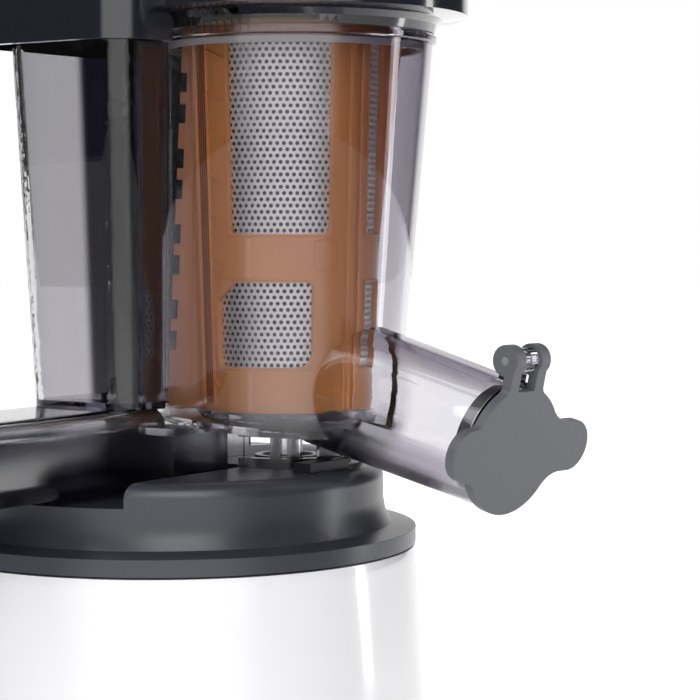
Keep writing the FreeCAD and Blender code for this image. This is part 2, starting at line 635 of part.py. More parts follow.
def stator():
    can = cylinder("stator_can", "stator_radius", "stator_length", MOTOR_X, MOTOR_Y, STATOR_LOW)
    bore = cylinder("stator_room", "stator_bore", "stator_length", MOTOR_X, MOTOR_Y, STATOR_LOW)
    return carve("motor_stator", can, [bore])


def rotor():
    core = cylinder("rotor_stack", "stator_bore - air_gap", "stator_length - 2 * rotor_end_gap", MOTOR_X,
                    MOTOR_Y, ROTOR_LOW)
    bore = cylinder("rotor_bore", "motor_shaft_radius", "stator_length", MOTOR_X, MOTOR_Y, STATOR_LOW)
    return carve("rotor_core", core, [bore])


def fan():
    hub = cylinder("fan_hub", "3 * motor_shaft_radius", "fan_thickness + fan_blade", "0", "0", "0")
    disc = cylinder("fan_disc", "fan_radius", "fan_thickness", z="fan_blade")
    count = round(value("fan_blades"))
    blades = []
    for number in range(count):
        turn = "360 * %d / fan_blades" % number
        blade = box("fan_blade_%d" % number, ("0", "0", "0"),
                    ("fan_radius - 2 * motor_shaft_radius", "fan_thickness / 2", "fan_blade"))
        blades.append(place(blade, *polar("2 * motor_shaft_radius", turn), "0", UP, turn))
    bore = cylinder("fan_bore", "motor_shaft_radius", "fan_thickness + fan_blade")
    return place(carve("cooling_fan", join("fan_body", [hub, disc] + blades), [bore]), MOTOR_X, MOTOR_Y,
                 FAN_LOW)


def shaft_seal():
    low = BOSS_TOP + " - seal_height"
    ring = cylinder("seal_ring", SHAFT_SEAL_RADIUS, "seal_height", "axis_x", "axis_y", low)
    bore = cylinder("seal_bore", "shaft_radius + running_gap", "seal_height", "axis_x", "axis_y", low)
    return carve("shaft_seal", ring, [bore])


finish("base_plate", base_plate())
finish("rubber_feet", feet())
finish("base_screws", screws("base_screws", PLATE_SCREWS, PLATE_LOW, "screw_length"))
finish("top_collar", collar())
finish("gearbox_tray", gearbox_tray())
finish("gearbox_cover", gearbox_cover())
finish("gearbox_screws", screws("gearbox_screws", post_spots(), "box_bottom",
                                "box_depth + box_cover + screw_length / 2"))
gears()
finish("drive_shaft", drive_shaft())
finish("shaft_bush_low", bush("shaft_bush_low", "shaft_radius", "axis_x", "axis_y", "box_bottom",
                              "box_wall"))
finish("shaft_bush_high", bush("shaft_bush_high", "shaft_radius", "axis_x", "axis_y", BOX_RIM,
                               "box_cover + bush_length"))
finish("shaft_seal", shaft_seal())
finish("idler_pin", cylinder("idler_pin", "idler_radius", "box_depth + box_cover", IDLER_X, IDLER_Y,
                             "box_bottom"))
finish("motor_stator", stator())
finish("rotor_core", rotor())
finish("motor_shaft", cylinder("motor_shaft", "motor_shaft_radius",
       FINE_LOW + " + fine_width - (" + MOTOR_SHAFT_LOW + ")", MOTOR_X, MOTOR_Y, MOTOR_SHAFT_LOW))
finish("motor_bush", bush("motor_bush", "motor_shaft_radius", MOTOR_X, MOTOR_Y, "box_bottom", "box_wall"))
finish("cooling_fan", fan())


# ---------------------------------------------------------------------------------------------
# Juicing bowl: drum, side chamber, pulp chute, juice spout
# ---------------------------------------------------------------------------------------------
FAR = "2 * housing_foot_radius"
FLOOR_AT_AXIS = "floor_front + (axis_y - floor_front_y) * tan(floor_slope)"
HUB_TOP = "auger_low - seat_gap"
STAND_TOP = "filter_bottom - seat_gap"
# Start and sweep of each window of the skirt under the drum, in degrees.
SKIRT_WINDOWS = (("-52", "36"), ("-9", "5.5"), ("5.3", "15.7"), ("40", "60"), ("150", "60"))


def drum(name, inset, low_z):
    low = ring_at(name + "_low", "drum_low_x", "drum_low_y", low_z, "drum_low_radius - (%s)" % inset)
    top = ring_at(name + "_top", "drum_top_x", "drum_top_y", "bowl_rim", "drum_top_radius - (%s)" % inset)
    return loft(name, [low, top])


def chamber(name, inset, low_z):
    """Side chamber beside the drum, narrowing a little towards its floor."""
    def corners(draft):
        left = "-(chamber_left - (%s) - (%s))" % (inset, draft)
        right = "chamber_right - (%s)" % inset
        front = "-(chamber_front - (%s) - (%s) / 2)" % (inset, draft)
        back = "chamber_back - (%s) - (%s)" % (inset, draft)
        return [(left, front), (right, front), (right, back), (left, back)]
    shape = loft(name + "_loft", [polygon_at(name + "_low", low_z, corners("chamber_draft")),
                                  polygon_at(name + "_top", "bowl_rim", corners("0"))])
    return rounded(name, shape, along(UP), "chamber_round - (%s)" % inset)


def below_floor(name, lift):
    """Everything under the sloping plane of the drum floor, raised by a lift."""
    depth = "drum_low_radius"
    margin = "drum_low_radius / 2"
    y = "floor_front_y + %s * sin(floor_slope) - %s * cos(floor_slope)" % (depth, margin)
    z = "floor_front + (%s) - %s * cos(floor_slope) - %s * sin(floor_slope)" % (lift, depth, margin)
    block = box(name, ("-collar_radius", y, z), ("collar_radius", y + " + " + FAR, z + " + " + depth))
    return place(block, "-collar_radius", y, z, V(1, 0, 0), "floor_slope")


def chute_box(name, inset, left):
    shape = box(name + "_box", (left, "-(chute_front - (%s))" % inset, "chute_bottom + (%s)" % inset),
                ("-(chute_mouth + (%s))" % inset, "chute_back - (%s)" % inset, "chute_top - (%s)" % inset))
    return rounded(name, shape, along(V(1, 0, 0)), "chute_round - (%s)" % inset)


def chute_root(name, inset):
    return box(name, ("-(chute_root_left - (%s))" % inset, "-(chute_front + chute_root - (%s))" % inset,
                      "chute_bottom + (%s)" % inset),
               ("-(%s)" % inset, "chute_lane - (%s)" % inset, "chute_root_top - (%s)" % inset))


def spout_tube(name, inset, root, end):
    """Tapered rod down the spout axis, from inside the drum to past the open end."""
    growth = "(spout_root_radius - spout_radius) / spout_length"
    points = [("spout_radius - (%s) - (%s) * %s" % (inset, z, growth), z) for z in (root, end)]
    return at_spout(turned(name, [("0", root)] + points + [("0", end)]))


def spout_way(name):
    """The spout's bore, grown to half way through its wall, for pieces that must stay out of it."""
    return spout_tube(name, "spout_wall / 2", "spout_wall / 2 - spout_length", "spout_wall")


def hinge_rod(name, radius, width, start):
    """Rod along the cap's hinge line, drawn about the spout end."""
    return cylinder(name, radius, width, start, "cap_hinge_rise", "-cap_pivot_in", V(0, 1, 0), "90")


def hinge_tab():
    """Clear tab on top of the spout mouth that the cap pin goes through."""
    wing = box("tab_block", ("-cap_tab_width / 2", "spout_radius - spout_wall / 2",
                             "-cap_pivot_in - cap_lug_radius"),
               ("cap_tab_width / 2", "cap_hinge_rise", "0"))
    nose = hinge_rod("tab_nose", "cap_lug_radius * 3 / 4", "cap_tab_width", "-cap_tab_width / 2")
    hole = hinge_rod("tab_hole", "cap_pin_radius + running_gap", "cap_tab_width", "-cap_tab_width / 2")
    return at_spout(carve("spout_tab", join("tab_solid", [wing, nose]), [hole]))


def at_spout(item):
    """Move a piece drawn about the spout end into place: its Z along the spout, its Y upwards."""
    leaned = wrap(item.Name + "_leaned", item)
    place(leaned, axis=V(1, 0, 0), angle="90 + spout_tilt")
    return place(wrap(item.Name + "_swung", leaned), "spout_x", "spout_end_y", "spout_end_z", UP,
                 "-spout_yaw")


def wrap(name, item):
    """Holder that gives an object a second placement."""
    holder = doc.addObject("Part::Compound", name)
    holder.Links = [item]
    return holder


def bowl():
    drum_outer = carve("drum_outer", drum("drum_skin", "0", "drum_low"), [below_floor("under_drum", "0")])
    drum_inner = carve("drum_inner", drum("drum_room", "bowl_wall", "drum_low"),
                       [below_floor("under_room", "bowl_wall")])
    bead_root = "drum_top_radius - bowl_wall / 2"
    bead = turned("rim_bead_ring", [
        (bead_root, "bowl_rim - rim_bead_height"),
        ("drum_top_radius + rim_bead", "bowl_rim - 3 * rim_bead_height / 4"),
        ("drum_top_radius + rim_bead", "bowl_rim - rim_bead_height / 4"),
        (bead_root, "bowl_rim - rim_bead_height / 8")], "drum_top_x", "drum_top_y")
    chamber_outer = chamber("chamber_skin", "0", "chamber_floor")
    chamber_room = carve("chamber_room", chamber("chamber_hollow", "bowl_wall",
                                                 "chamber_floor + bowl_wall"),
                         [drum_outer])
    well_height = "bowl_rim - (%s)" % STAND_TOP
    slot_half = "(flange_thickness + well_gap)"
    slot_turn = "180 + filter_turn"
    slot = box("well_slot", ("0", "0", "0"), ("flange_low + well_gap", "2 * " + slot_half, well_height))
    well_tools = [
        cylinder("well_round", "filter_low_radius + well_gap", well_height, "axis_x", "axis_y", STAND_TOP),
        place(slot, "axis_x + %s * sin(%s)" % (slot_half, slot_turn),
              "axis_y - %s * cos(%s)" % (slot_half, slot_turn), STAND_TOP, UP, slot_turn)]
    well = overlap("filter_well", [drum("well_limit", "bowl_wall", "drum_low"),
                                   join("well_shape", well_tools)])
    outside = join("bowl_outside", [
        drum_outer, chamber_outer, chute_box("chute_skin", "0", "-chute_length"),
        chute_root("root_skin", "0"), spout_tube("spout_skin", "0", "-spout_length", "0")])
    inside = [drum_inner, well, chamber_room,
              chute_box("chute_room", "bowl_wall", "-chute_length - bowl_wall"),
              chute_root("root_room", "bowl_wall"),
              spout_tube("spout_bore", "spout_wall", "spout_wall - spout_length", "spout_wall")]
    shell = carve("bowl_shell", outside, inside)
    stand = cylinder("filter_stand", "stand_radius", "%s - (%s)" % (STAND_TOP, FLOOR_AT_AXIS),
                     "axis_x", "axis_y", FLOOR_AT_AXIS)
    stand_room = cylinder("stand_room", "stand_radius - bowl_wall",
                          "filter_bottom - (%s)" % FLOOR_AT_AXIS, "axis_x", "axis_y", FLOOR_AT_AXIS)
    skirt_height = FLOOR_AT_AXIS + " - deck_top"
    skirt = cylinder("skirt_ring", "skirt_radius", skirt_height, "axis_x", "axis_y", "deck_top")
    skirt_room = cylinder("skirt_room", "skirt_radius - skirt_wall", skirt_height, "axis_x", "axis_y",
                          "deck_top")
    hub = cylinder("bowl_hub", "hub_radius", HUB_TOP + " - (%s)" % FLOOR_AT_AXIS, "axis_x", "axis_y",
                   FLOOR_AT_AXIS)
    hub_bore = cylinder("hub_bore", "hub_radius - bowl_wall", FAR, "axis_x", "axis_y", "deck_top")
    skirt_ring = carve("skirt_wall_ring", skirt, [skirt_room, spout_way("skirt_way")])
    skirt_cut = overlap("skirt_trim", [skirt_ring, below_floor("skirt_limit", "bowl_wall / 2")])
    port = cylinder("pulp_port", "port_width / 2", "filter_bottom - chute_bottom",
                    "axis_x + port_reach * cos(port_direction)", "axis_y + port_reach * sin(port_direction)",
                    "chute_bottom + bowl_wall")
    windows = [cylinder("skirt_window_%d" % number, "drum_low_radius", "window_height", "axis_x", "axis_y",
                        "deck_top + window_sill", UP, "filter_turn - 90 + (%s)" % start, sweep)
               for number, (start, sweep) in enumerate(SKIRT_WINDOWS)]
    skirt_open = carve("skirt_frame", skirt_cut, windows + [chute_root("root_clear", "bowl_wall")])
    lug_left = "lock_x + lock_width / 2 + lug_gap"
    lug_top = "floor_front + (lock_y - floor_front_y) * tan(floor_slope)"
    lug_block = box("lug_block", (lug_left, "lock_y - lock_depth / 2", lug_top + " - lug_drop"),
                    (lug_left + " + lug_width", "lock_y + lock_depth / 2", lug_top + " + bowl_wall / 2"))
    lug = carve("bowl_lug", lug_block, [spout_way("lug_way")])
    ribs = [bead, carve("stand_ring", stand, [stand_room]), hub, skirt_open, lug, hinge_tab()]
    solid = join("bowl_solid", [shell] + ribs, refine=False)
    return carve("juicing_bowl", solid, [hub_bore, port], refine=False)


finish("juicing_bowl", bowl())


def hub_gasket():
    ring = cylinder("gasket_ring", "hub_radius - bowl_wall", "seal_height", "axis_x", "axis_y",
                    HUB_TOP + " - seal_height")
    bore = cylinder("gasket_bore", "shaft_radius + 3 * running_gap", "seal_height", "axis_x", "axis_y",
                    HUB_TOP + " - seal_height")
    return carve("hub_gasket", ring, [bore])


finish("hub_gasket", hub_gasket())


# ---------------------------------------------------------------------------------------------
# Spout cap, drawn about the spout end: Z outwards along the spout, Y upwards
# ---------------------------------------------------------------------------------------------
PLUG_RADIUS = "spout_radius - spout_wall - cap_plug_gap"
RING_LOW = "-cap_ring_width - cap_gap"
RING_BORE = PLUG_RADIUS + " - cap_ring_depth"


def cap_plate():
    """Plate with a round middle, two lobes and a neck, and a soft fillet in each inner corner."""
    core = cylinder("cap_core", "cap_core_radius", "cap_plate", "0", "-cap_core_drop", "cap_gap")
    lobes = [cylinder("cap_lobe_" + side, "cap_lobe_radius", "cap_plate", x, "-cap_lobe_drop", "cap_gap")
             for side, x in (("left", "-cap_left_reach"), ("right", "cap_right_reach"))]
    bar = box("cap_bar", ("-cap_left_reach", "-cap_lobe_drop - cap_lobe_radius", "cap_gap"),
              ("cap_right_reach", "cap_lobe_radius - cap_lobe_drop", "cap_gap + cap_plate"))
    neck = box("cap_neck", ("-cap_lug_gap / 2 - cap_lug_width", "0", "cap_gap"),
               ("cap_lug_gap / 2 + cap_lug_width", "cap_hinge_rise", "cap_gap + cap_plate"))
    side = value("cap_lug_gap / 2 + cap_lug_width")
    plate = join("cap_rough", [core, bar, neck] + lobes)
    for hand, name in ((-1, "left"), (1, "right")):
        end = value("cap_%s_reach - cap_lobe_radius / 8" % name)
        plate = rounded("cap_hollow_" + name, plate, upright_between(side * 1.5, end, hand),
                        "cap_%s_fillet" % name)
        plate = rounded("cap_neck_" + name, plate, upright_between(side * 0.9, side * 1.1, hand),
                        "cap_neck_fillet")
    return plate


def upright_between(near, far, hand):
    """Test for upright edges of one side of the cap, below its eyes, between two distances."""
    upright = along(UP)
    top = value("cap_core_radius")
    return lambda edge: (upright(edge) and near < hand * edge.CenterOfMass.x < far and
                         edge.CenterOfMass.y < top)


def spout_cap():
    eyes = [hinge_rod("cap_eye_" + side, "cap_lug_radius", "cap_lug_width", start)
            for side, start in (("left", "-cap_lug_gap / 2 - cap_lug_width"), ("right", "cap_lug_gap / 2"))]
    slot = box("cap_slot", ("-cap_lug_gap / 2", "spout_radius - spout_wall", "-2 * cap_lug_radius"),
               ("cap_lug_gap / 2", "cap_hinge_rise + 2 * cap_lug_radius", "2 * cap_lug_radius"))
    pin_hole = hinge_rod("cap_pin_hole", "cap_pin_radius", FAR, "-cap_core_radius")
    plug = cylinder("cap_plug", PLUG_RADIUS, "cap_plug_length + cap_gap", z="-cap_plug_length")
    plug_room = cylinder("cap_plug_room", PLUG_RADIUS + " - cap_plug_wall", "cap_plug_length + cap_gap",
                         z="-cap_plug_length")
    groove = carve("cap_groove", cylinder("groove_outer", PLUG_RADIUS, "cap_ring_width", z=RING_LOW),
                   [cylinder("groove_inner", RING_BORE, "cap_ring_width", z=RING_LOW)])
    return carve("spout_cap", join("cap_solid", [cap_plate(), plug] + eyes),
                 [slot, pin_hole, plug_room, groove])


def cap_ring():
    ring = cylinder("cap_ring_outer", "spout_radius - spout_wall - cap_ring_gap", "cap_ring_width",
                    z=RING_LOW)
    return carve("cap_seal_ring", ring, [cylinder("cap_ring_room", RING_BORE, "cap_ring_width",
                                                  z=RING_LOW)])


finish("spout_cap", at_spout(spout_cap()))
finish("cap_seal_ring", at_spout(cap_ring()))
finish("cap_hinge_pin", at_spout(hinge_rod("cap_pin", "cap_pin_radius", "cap_lug_gap + 2 * cap_lug_width",
                                           "-cap_lug_gap / 2 - cap_lug_width")))


# ---------------------------------------------------------------------------------------------
# Filter, drawn about its own axis with the split plane on XZ, then turned to face the chamber
# ---------------------------------------------------------------------------------------------
FILTER_HEIGHT = "(filter_top - filter_bottom)"
FLANGE_SLOPE = "(flange_top - flange_low) / %s" % FILTER_HEIGHT


def cone_radius(z, inset="0"):
    """Radius of the filter cone at a height."""
    return ("filter_low_radius + (filter_top_radius - filter_low_radius) * ((%s) - filter_bottom) / %s - (%s)"
            % (z, FILTER_HEIGHT, inset))


def cone_shell(name, outer_inset, inner_inset, low="filter_bottom", top="filter_top"):
    return turned(name, [(cone_radius(low, inner_inset), low), (cone_radius(low, outer_inset), low),
                         (cone_radius(top, outer_inset), top), (cone_radius(top, inner_inset), top)])


def window_sectors(name, lap, front):
    """Wedges through the windows of one half of the filter, grown by a lap."""
    side = "0" if front else "180"
    wedges = []
    levels = (("high", "window_high_low", "window_high_top"), ("low", "window_low_low", "window_low_top"))
    for level, low, top in levels:
        spans = (("wide", "-90 - window_%s_start" % level, "window_sweep"),
                 ("side", "-90 + window_side_start", "window_side_sweep"))
        for span, start, sweep in spans:
            turn = "%s + (%s) - (%s)" % (side, start, lap)
            wedges.append(cylinder("%s_%s_%s" % (name, level, span), "2 * filter_top_radius",
                                   "%s - %s + 2 * (%s)" % (top, low, lap), "0", "0",
                                   "%s - (%s)" % (low, lap), UP, turn, "%s + 2 * (%s)" % (sweep, lap)))
    return wedges


def flange_edge(z):
    """Distance of the castellated flange edge from the axis at a height."""
    return "flange_low + %s * ((%s) - filter_bottom)" % (FLANGE_SLOPE, z)


def castellated(name, side, flipped):
    """Flange plate whose outer edge steps in and out, with long and short tabs in turn."""
    period = "(tab_long + tab_short + 2 * tab_notch)"
    count = int(value("(filter_top - tab_start) / " + period))
    corners = [(flange_edge("filter_bottom"), "filter_bottom")]
    for number in range(count):
        foot = "tab_start + %d * %s" % (number, period)
        short = foot + " + tab_notch"
        long = short + " + tab_short + tab_notch"
        for low, high in ((foot, short), (short + " + tab_short", long)):
            corners += [(flange_edge(low), low), (flange_edge(low) + " - tab_depth", low)]
            corners += [(flange_edge(high) + " - tab_depth", high), (flange_edge(high), high)]
    corners.append((flange_edge("filter_top"), "filter_top"))
    inner_low = cone_radius("filter_bottom", "filter_wall / 2")
    inner_top = cone_radius("filter_top", "filter_wall / 2")
    outline = [(inner_low, "filter_bottom")] + corners + [(inner_top, "filter_top")]
    outline = [("%d * (%s)" % (side, x), z) for x, z in outline]
    return slab(name, outline, "flange_thickness", "XZ_Plane", flipped=flipped)


def side_flange(name, flipped):
    """Plain flange on the other side, widest at the rim."""
    low = "window_low_top"
    outline = [(cone_radius(low, "filter_wall / 2"), low), ("flange_right_top", "filter_top"),
               (cone_radius("filter_top", "filter_wall / 2"), "filter_top")]
    return slab(name, outline, "flange_thickness", "XZ_Plane", flipped=flipped)


def filter_half(name, front):
    shell = cone_shell(name + "_cone", "0", "filter_wall")
    rim = turned(name + "_rim", [
        (cone_radius("filter_top", "filter_wall"), "filter_top - filter_rim_height"),
        (cone_radius("filter_top", "0") + " + filter_rim / 2", "filter_top - filter_rim_height"),
        (cone_radius("filter_top", "0") + " + filter_rim / 2", "filter_top"),
        (cone_radius("filter_top", "filter_wall"), "filter_top")])
    reach = "3 * filter_top_radius"
    y_low, y_high = ("-" + reach, "0") if front else ("0", reach)
    side_room = box(name + "_side", ("-" + reach, y_low, "0"), (reach, y_high, "2 * filter_top"))
    half = overlap(name + "_half", [join(name + "_round", [shell, rim]), side_room])
    flanges = [castellated(name + "_tabs", -1, not front), side_flange(name + "_flange", not front)]
    room = cylinder(name + "_room", cone_radius("filter_bottom", "filter_wall"), FAR, z="0")
    room_cone = turned(name + "_inside", [
        ("0", "filter_bottom"), (cone_radius("filter_bottom", "filter_wall"), "filter_bottom"),
        (cone_radius("filter_top", "filter_wall"), "filter_top"), ("0", "filter_top")])
    wings = carve(name + "_wings", join(name + "_plates", flanges), [room, room_cone])
    laps = join(name + "_laps", window_sectors(name + "_lap", "screen_lap", front))
    rebate = overlap(name + "_rebate", [screen_shell(name + "_seat"), laps])
    piece = carve(name, join(name + "_solid", [half, wings]),
                  window_sectors(name + "_open", "0", front) + [rebate])
    return place(piece, "axis_x", "axis_y", "0", UP, "filter_turn")


def screen_shell(name):
    return cone_shell(name, "filter_wall - screen_thickness", "filter_wall",
                      "window_low_low - 2 * screen_lap", "window_high_top + 2 * screen_lap")


def filter_screens():
    laps = (window_sectors("screen_front", "screen_lap", True) +
            window_sectors("screen_rear", "screen_lap", False))
    piece = overlap("filter_screens", [screen_shell("screen_sheet"), join("screen_laps", laps)])
    return place(piece, "axis_x", "axis_y", "0", UP, "filter_turn")


def filter_base():
    top = "filter_bottom + filter_wall"
    disc = cylinder("base_disc", cone_radius("filter_bottom", "filter_wall"), "filter_wall", "axis_x",
                    "axis_y", "filter_bottom")
    hole = cylinder("base_hole", "hub_radius + seat_gap", "filter_wall", "axis_x", "axis_y",
                    "filter_bottom")
    port = cylinder("base_port", "port_width / 2", "2 * filter_wall",
                    "axis_x + port_reach * cos(port_direction)",
                    "axis_y + port_reach * sin(port_direction)", "filter_bottom - filter_wall / 2")
    return carve("filter_base_ring", disc, [hole, port])


finish("filter_front", filter_half("filter_front", True))
finish("filter_rear", filter_half("filter_rear", False))
finish("filter_screens", filter_screens())
finish("filter_base_ring", filter_base())


# ---------------------------------------------------------------------------------------------
# Auger
# ---------------------------------------------------------------------------------------------
AUGER_INSET = "filter_wall + auger_gap"
INSERT_HEIGHT = "hex_length - (auger_low - (%s)) + hex_end_gap + insert_roof" % HEX_LOW


def flight():
    """Helical flight: a bar swept up a helix, later trimmed to the inside of the filter."""
    height = value("auger_top - auger_low")
    pitch = height / value("flight_turns")
    half = value("flight_thickness") / 2
    near = value("auger_core_top") / 2
    far = value("filter_top_radius")
    helix = Part.makeHelix(pitch, height, (near + far) / 2)
    section = Part.makePolygon([V(near, 0, -half), V(far, 0, -half), V(far, 0, half), V(near, 0, half),
                                V(near, 0, -half)])
    return Part.Wire(helix.Edges).makePipeShell([section], True, True)


def auger():
    screw = settle("auger_flight_bar", flight(), z="auger_low")
    envelope = turned("auger_envelope", [
        ("0", "auger_low"), (cone_radius("auger_low", AUGER_INSET), "auger_low"),
        (cone_radius("auger_top", AUGER_INSET), "auger_top"), ("0", "auger_top")])
    vanes = overlap("auger_flight", [screw, envelope])
    core = turned("auger_core", [
        ("0", "auger_low"), ("auger_core_low", "auger_low"), ("auger_core_top", "auger_top"),
        ("auger_neck_radius", "auger_top"), ("auger_neck_radius", "auger_top + auger_neck"),
        ("0", "auger_top + auger_neck")])
    foot = turned("auger_foot", [
        ("0", "auger_low"), ("auger_foot_radius", "auger_low"),
        ("auger_foot_radius", "auger_low + flight_thickness"),
        ("auger_core_low", "auger_low + 2 * flight_thickness"), ("0", "auger_low + 2 * flight_thickness")])
    socket = cylinder("auger_socket", "insert_radius", INSERT_HEIGHT, z="auger_low")
    return place(carve("auger", join("auger_solid", [core, foot, vanes]), [socket]), "axis_x", "axis_y")


def auger_insert():
    sleeve = cylinder("insert_sleeve", "insert_radius", INSERT_HEIGHT, "axis_x", "axis_y", "auger_low")
    bore = hexagon("insert_hex", "hex_flats + 2 * hex_clearance", "auger_low",
                   INSERT_HEIGHT + " - insert_roof", "axis_x", "axis_y")
    return carve("auger_insert", sleeve, [bore])


finish("auger", auger())
finish("auger_insert", auger_insert())


# ---------------------------------------------------------------------------------------------
# Lid, feed tube and pusher
# ---------------------------------------------------------------------------------------------
LID_UNDER = "lid_top - lid_wall"
NECK_LOW = "bowl_rim + neck_gap"
LIP_RADIUS = "drum_top_radius - bowl_wall - lip_gap"
BAR_LOW = "auger_top + auger_neck / 2"
RIB_LOW = "column_top + button_travel / 2 + seat_gap"
FEED_BORE = "feed_radius - feed_wall"
PUSHER_RADIUS = "feed_radius - feed_wall - pusher_gap"


def lid():
    round_part = turned("lid_round", [
        (LIP_RADIUS + " - neck_lip", "bowl_rim - rim_bead_height"),
        (LIP_RADIUS, "bowl_rim - rim_bead_height"), (LIP_RADIUS, NECK_LOW),
        ("drum_top_radius + neck_gap", NECK_LOW),
        ("drum_top_radius + rim_bead", "bowl_rim + (brim_low - bowl_rim) / 2"),
        ("drum_top_radius + 3 * rim_bead", "brim_low - rim_bead"), ("brim_radius", "brim_low"),
        ("brim_radius", "brim_low + brim_height"), ("brim_radius - lid_wall", "lid_top"),
        ("0", "lid_top"), ("0", LID_UNDER), (LIP_RADIUS + " - neck_lip", LID_UNDER)],
        "drum_top_x", "drum_top_y")
    left = "-chamber_left - lid_side_overhang"
    right = "column_x + column_width / 2"
    front = "-chamber_front - lid_side_overhang"
    back = "column_y + column_depth / 2 + lid_side_overhang / 2"
    plate = rounded("lid_side", box("lid_side_box", (left, front, "lid_side_low"),
                                    (right, back, "lid_top - lid_wall / 2")),
                    along(UP), "chamber_round + lid_side_overhang")
    hollow = box("lid_side_hollow", (left + " + lid_wall", front + " + lid_wall", "lid_side_low - lid_wall"),
                 (right + " - lid_wall", back + " - lid_wall", NECK_LOW + " + lid_wall"))
    side_room = rounded("lid_side_room", hollow, along(UP), "chamber_round + lid_side_overhang - lid_wall")
    drum_room = cylinder("lid_drum_room", "drum_top_radius + rim_bead + seat_gap", FAR, "drum_top_x",
                         "drum_top_y", NECK_LOW + " - 2 * housing_foot_radius")
    mouth = cylinder("lid_mouth", LIP_RADIUS + " - neck_lip", "lid_top / 2", "drum_top_x", "drum_top_y",
                     LID_UNDER + " - lid_top / 2")
    skirt = carve("lid_skirt", plate, [side_room, drum_room, mouth])
    tube = cylinder("feed_tube", "feed_radius", "feed_top - (%s)" % LID_UNDER, "feed_x", "feed_y",
                    LID_UNDER)
    rim = cylinder("feed_rim_ring", "feed_radius + feed_rim", "feed_rim_height", "feed_x", "feed_y",
                   "feed_top - feed_rim_height")
    bore = cylinder("feed_bore", FEED_BORE, FAR, "feed_x", "feed_y", BAR_LOW)
    bar = box("bush_bar", ("axis_x", "axis_y - insert_radius", BAR_LOW),
              ("axis_x + " + LIP_RADIUS, "axis_y + insert_radius", "lid_top"))
    end = cylinder("bush_round", "insert_radius", "lid_top - (%s)" % BAR_LOW, "axis_x", "axis_y", BAR_LOW)
    inside = cylinder("bar_limit", LIP_RADIUS + " - neck_lip / 2", FAR, "drum_top_x", "drum_top_y", "0")
    arm = overlap("bush_arm", [join("bush_beam", [bar, end]), inside])
    seat = cylinder("bush_seat", "auger_neck_radius + running_gap + lid_bush_wall",
                    "lid_top - (%s)" % BAR_LOW, "axis_x", "axis_y", BAR_LOW)
    rib = cylinder("button_rib", "button_radius", "lid_top - lid_wall - (%s)" % RIB_LOW, "column_x",
                   "column_y", RIB_LOW)
    opened = carve("lid_open", join("lid_shell", [round_part, skirt, tube, rim]), [bore])
    solid = join("lid_solid", [opened, arm, rib])
    return carve("lid", solid, [seat])


def lid_seal():
    ring = cylinder("lid_seal_ring", LIP_RADIUS, "lid_seal", "drum_top_x", "drum_top_y",
                    "bowl_rim - rim_bead_height - lid_seal")
    room = cylinder("lid_seal_room", LIP_RADIUS + " - neck_lip", "lid_seal", "drum_top_x", "drum_top_y",
                    "bowl_rim - rim_bead_height - lid_seal")
    return carve("lid_seal", ring, [room])


def pusher():
    low = "lid_top + pusher_clear"
    inner = PUSHER_RADIUS + " - pusher_wall"
    return turned("pusher", [
        ("0", low), (PUSHER_RADIUS, low), (PUSHER_RADIUS, "feed_top + seat_gap"),
        (inner, "feed_top + seat_gap"), (inner, low + " + pusher_wall"),
        ("0", low + " + pusher_wall")], "feed_x", "feed_y")


def pusher_cap():
    low = "feed_top + seat_gap"
    top = low + " + pusher_cap_height"
    edge = "feed_radius + pusher_cap_overhang"
    return turned("pusher_cap", [
        ("0", low), (edge, low), (edge, top + " - pusher_wall"), (edge + " - pusher_wall", top),
        ("0", top)], "feed_x", "feed_y")


finish("lid", lid())
finish("lid_seal", lid_seal())
finish("lid_bush", bush("lid_bush", "auger_neck_radius", "axis_x", "axis_y", BAR_LOW,
                        "lid_top - (%s)" % BAR_LOW))
finish("pusher", pusher())
finish("pusher_cap", pusher_cap())


# ---------------------------------------------------------------------------------------------
# Rear column with the lid button, bowl lock, controls and power
# ---------------------------------------------------------------------------------------------
def column():
    corner_low = ("column_x - column_width / 2", "column_y - column_depth / 2", "deck_top")
    corner_high = ("column_x + column_width / 2", "column_y + column_depth / 2", "column_top")
    shaft = rounded("column_shaft", box("column_box", corner_low, corner_high), along(UP), "column_round")
    pad = box("column_pad", (corner_low[0] + " - column_foot / 2", corner_low[1] + " - column_foot / 2",
                             "deck_top"),
              (corner_high[0] + " + column_foot / 4", corner_high[1] + " + column_foot / 4",
               "deck_top + column_foot_height"))
    foot = rounded("column_base", pad, along(UP), "column_round")
    pit = cylinder("button_pit", "button_radius + slide_gap / 4", "button_length + button_travel",
                   "column_x", "column_y", "column_top - button_length - button_travel")
    return carve("rear_column", join("column_solid", [shaft, foot]), [pit])


def lid_button():
    return cylinder("lid_button", "button_radius", "button_length", "column_x", "column_y",
                    "column_top - button_length + button_travel / 2")


def lock_block():
    block = box("lock_box", ("lock_x - lock_width / 2", "lock_y - lock_depth / 2", "deck_top"),
                ("lock_x + lock_width / 2", "lock_y + lock_depth / 2", "deck_top + lock_height"))
    post = box("lock_post", ("lock_x + lock_post / 4", "lock_y - lock_post / 2", "deck_top + lock_height"),
               ("lock_x + lock_post * 5 / 4", "lock_y + lock_post / 2",
                "deck_top + lock_height + lock_post_height"))
    clear = cylinder("lock_clear", "skirt_radius + seat_gap", FAR, "axis_x", "axis_y", "deck_top")
    return carve("lock_block", join("lock_solid", [block, post]), [clear])


WALL_AT_SWITCH = housing_radius("switch_z + switch_height / 2")


PIN_LENGTH = "switch_height - shell_wall"


def rocker_rod(name, radius, length):
    """Upright rod through the switch at the line that its rocker tips about."""
    return cylinder(name, radius, length, WALL_AT_SWITCH + " - switch_depth / 6", "0",
                    "switch_z - (%s) / 2" % length)


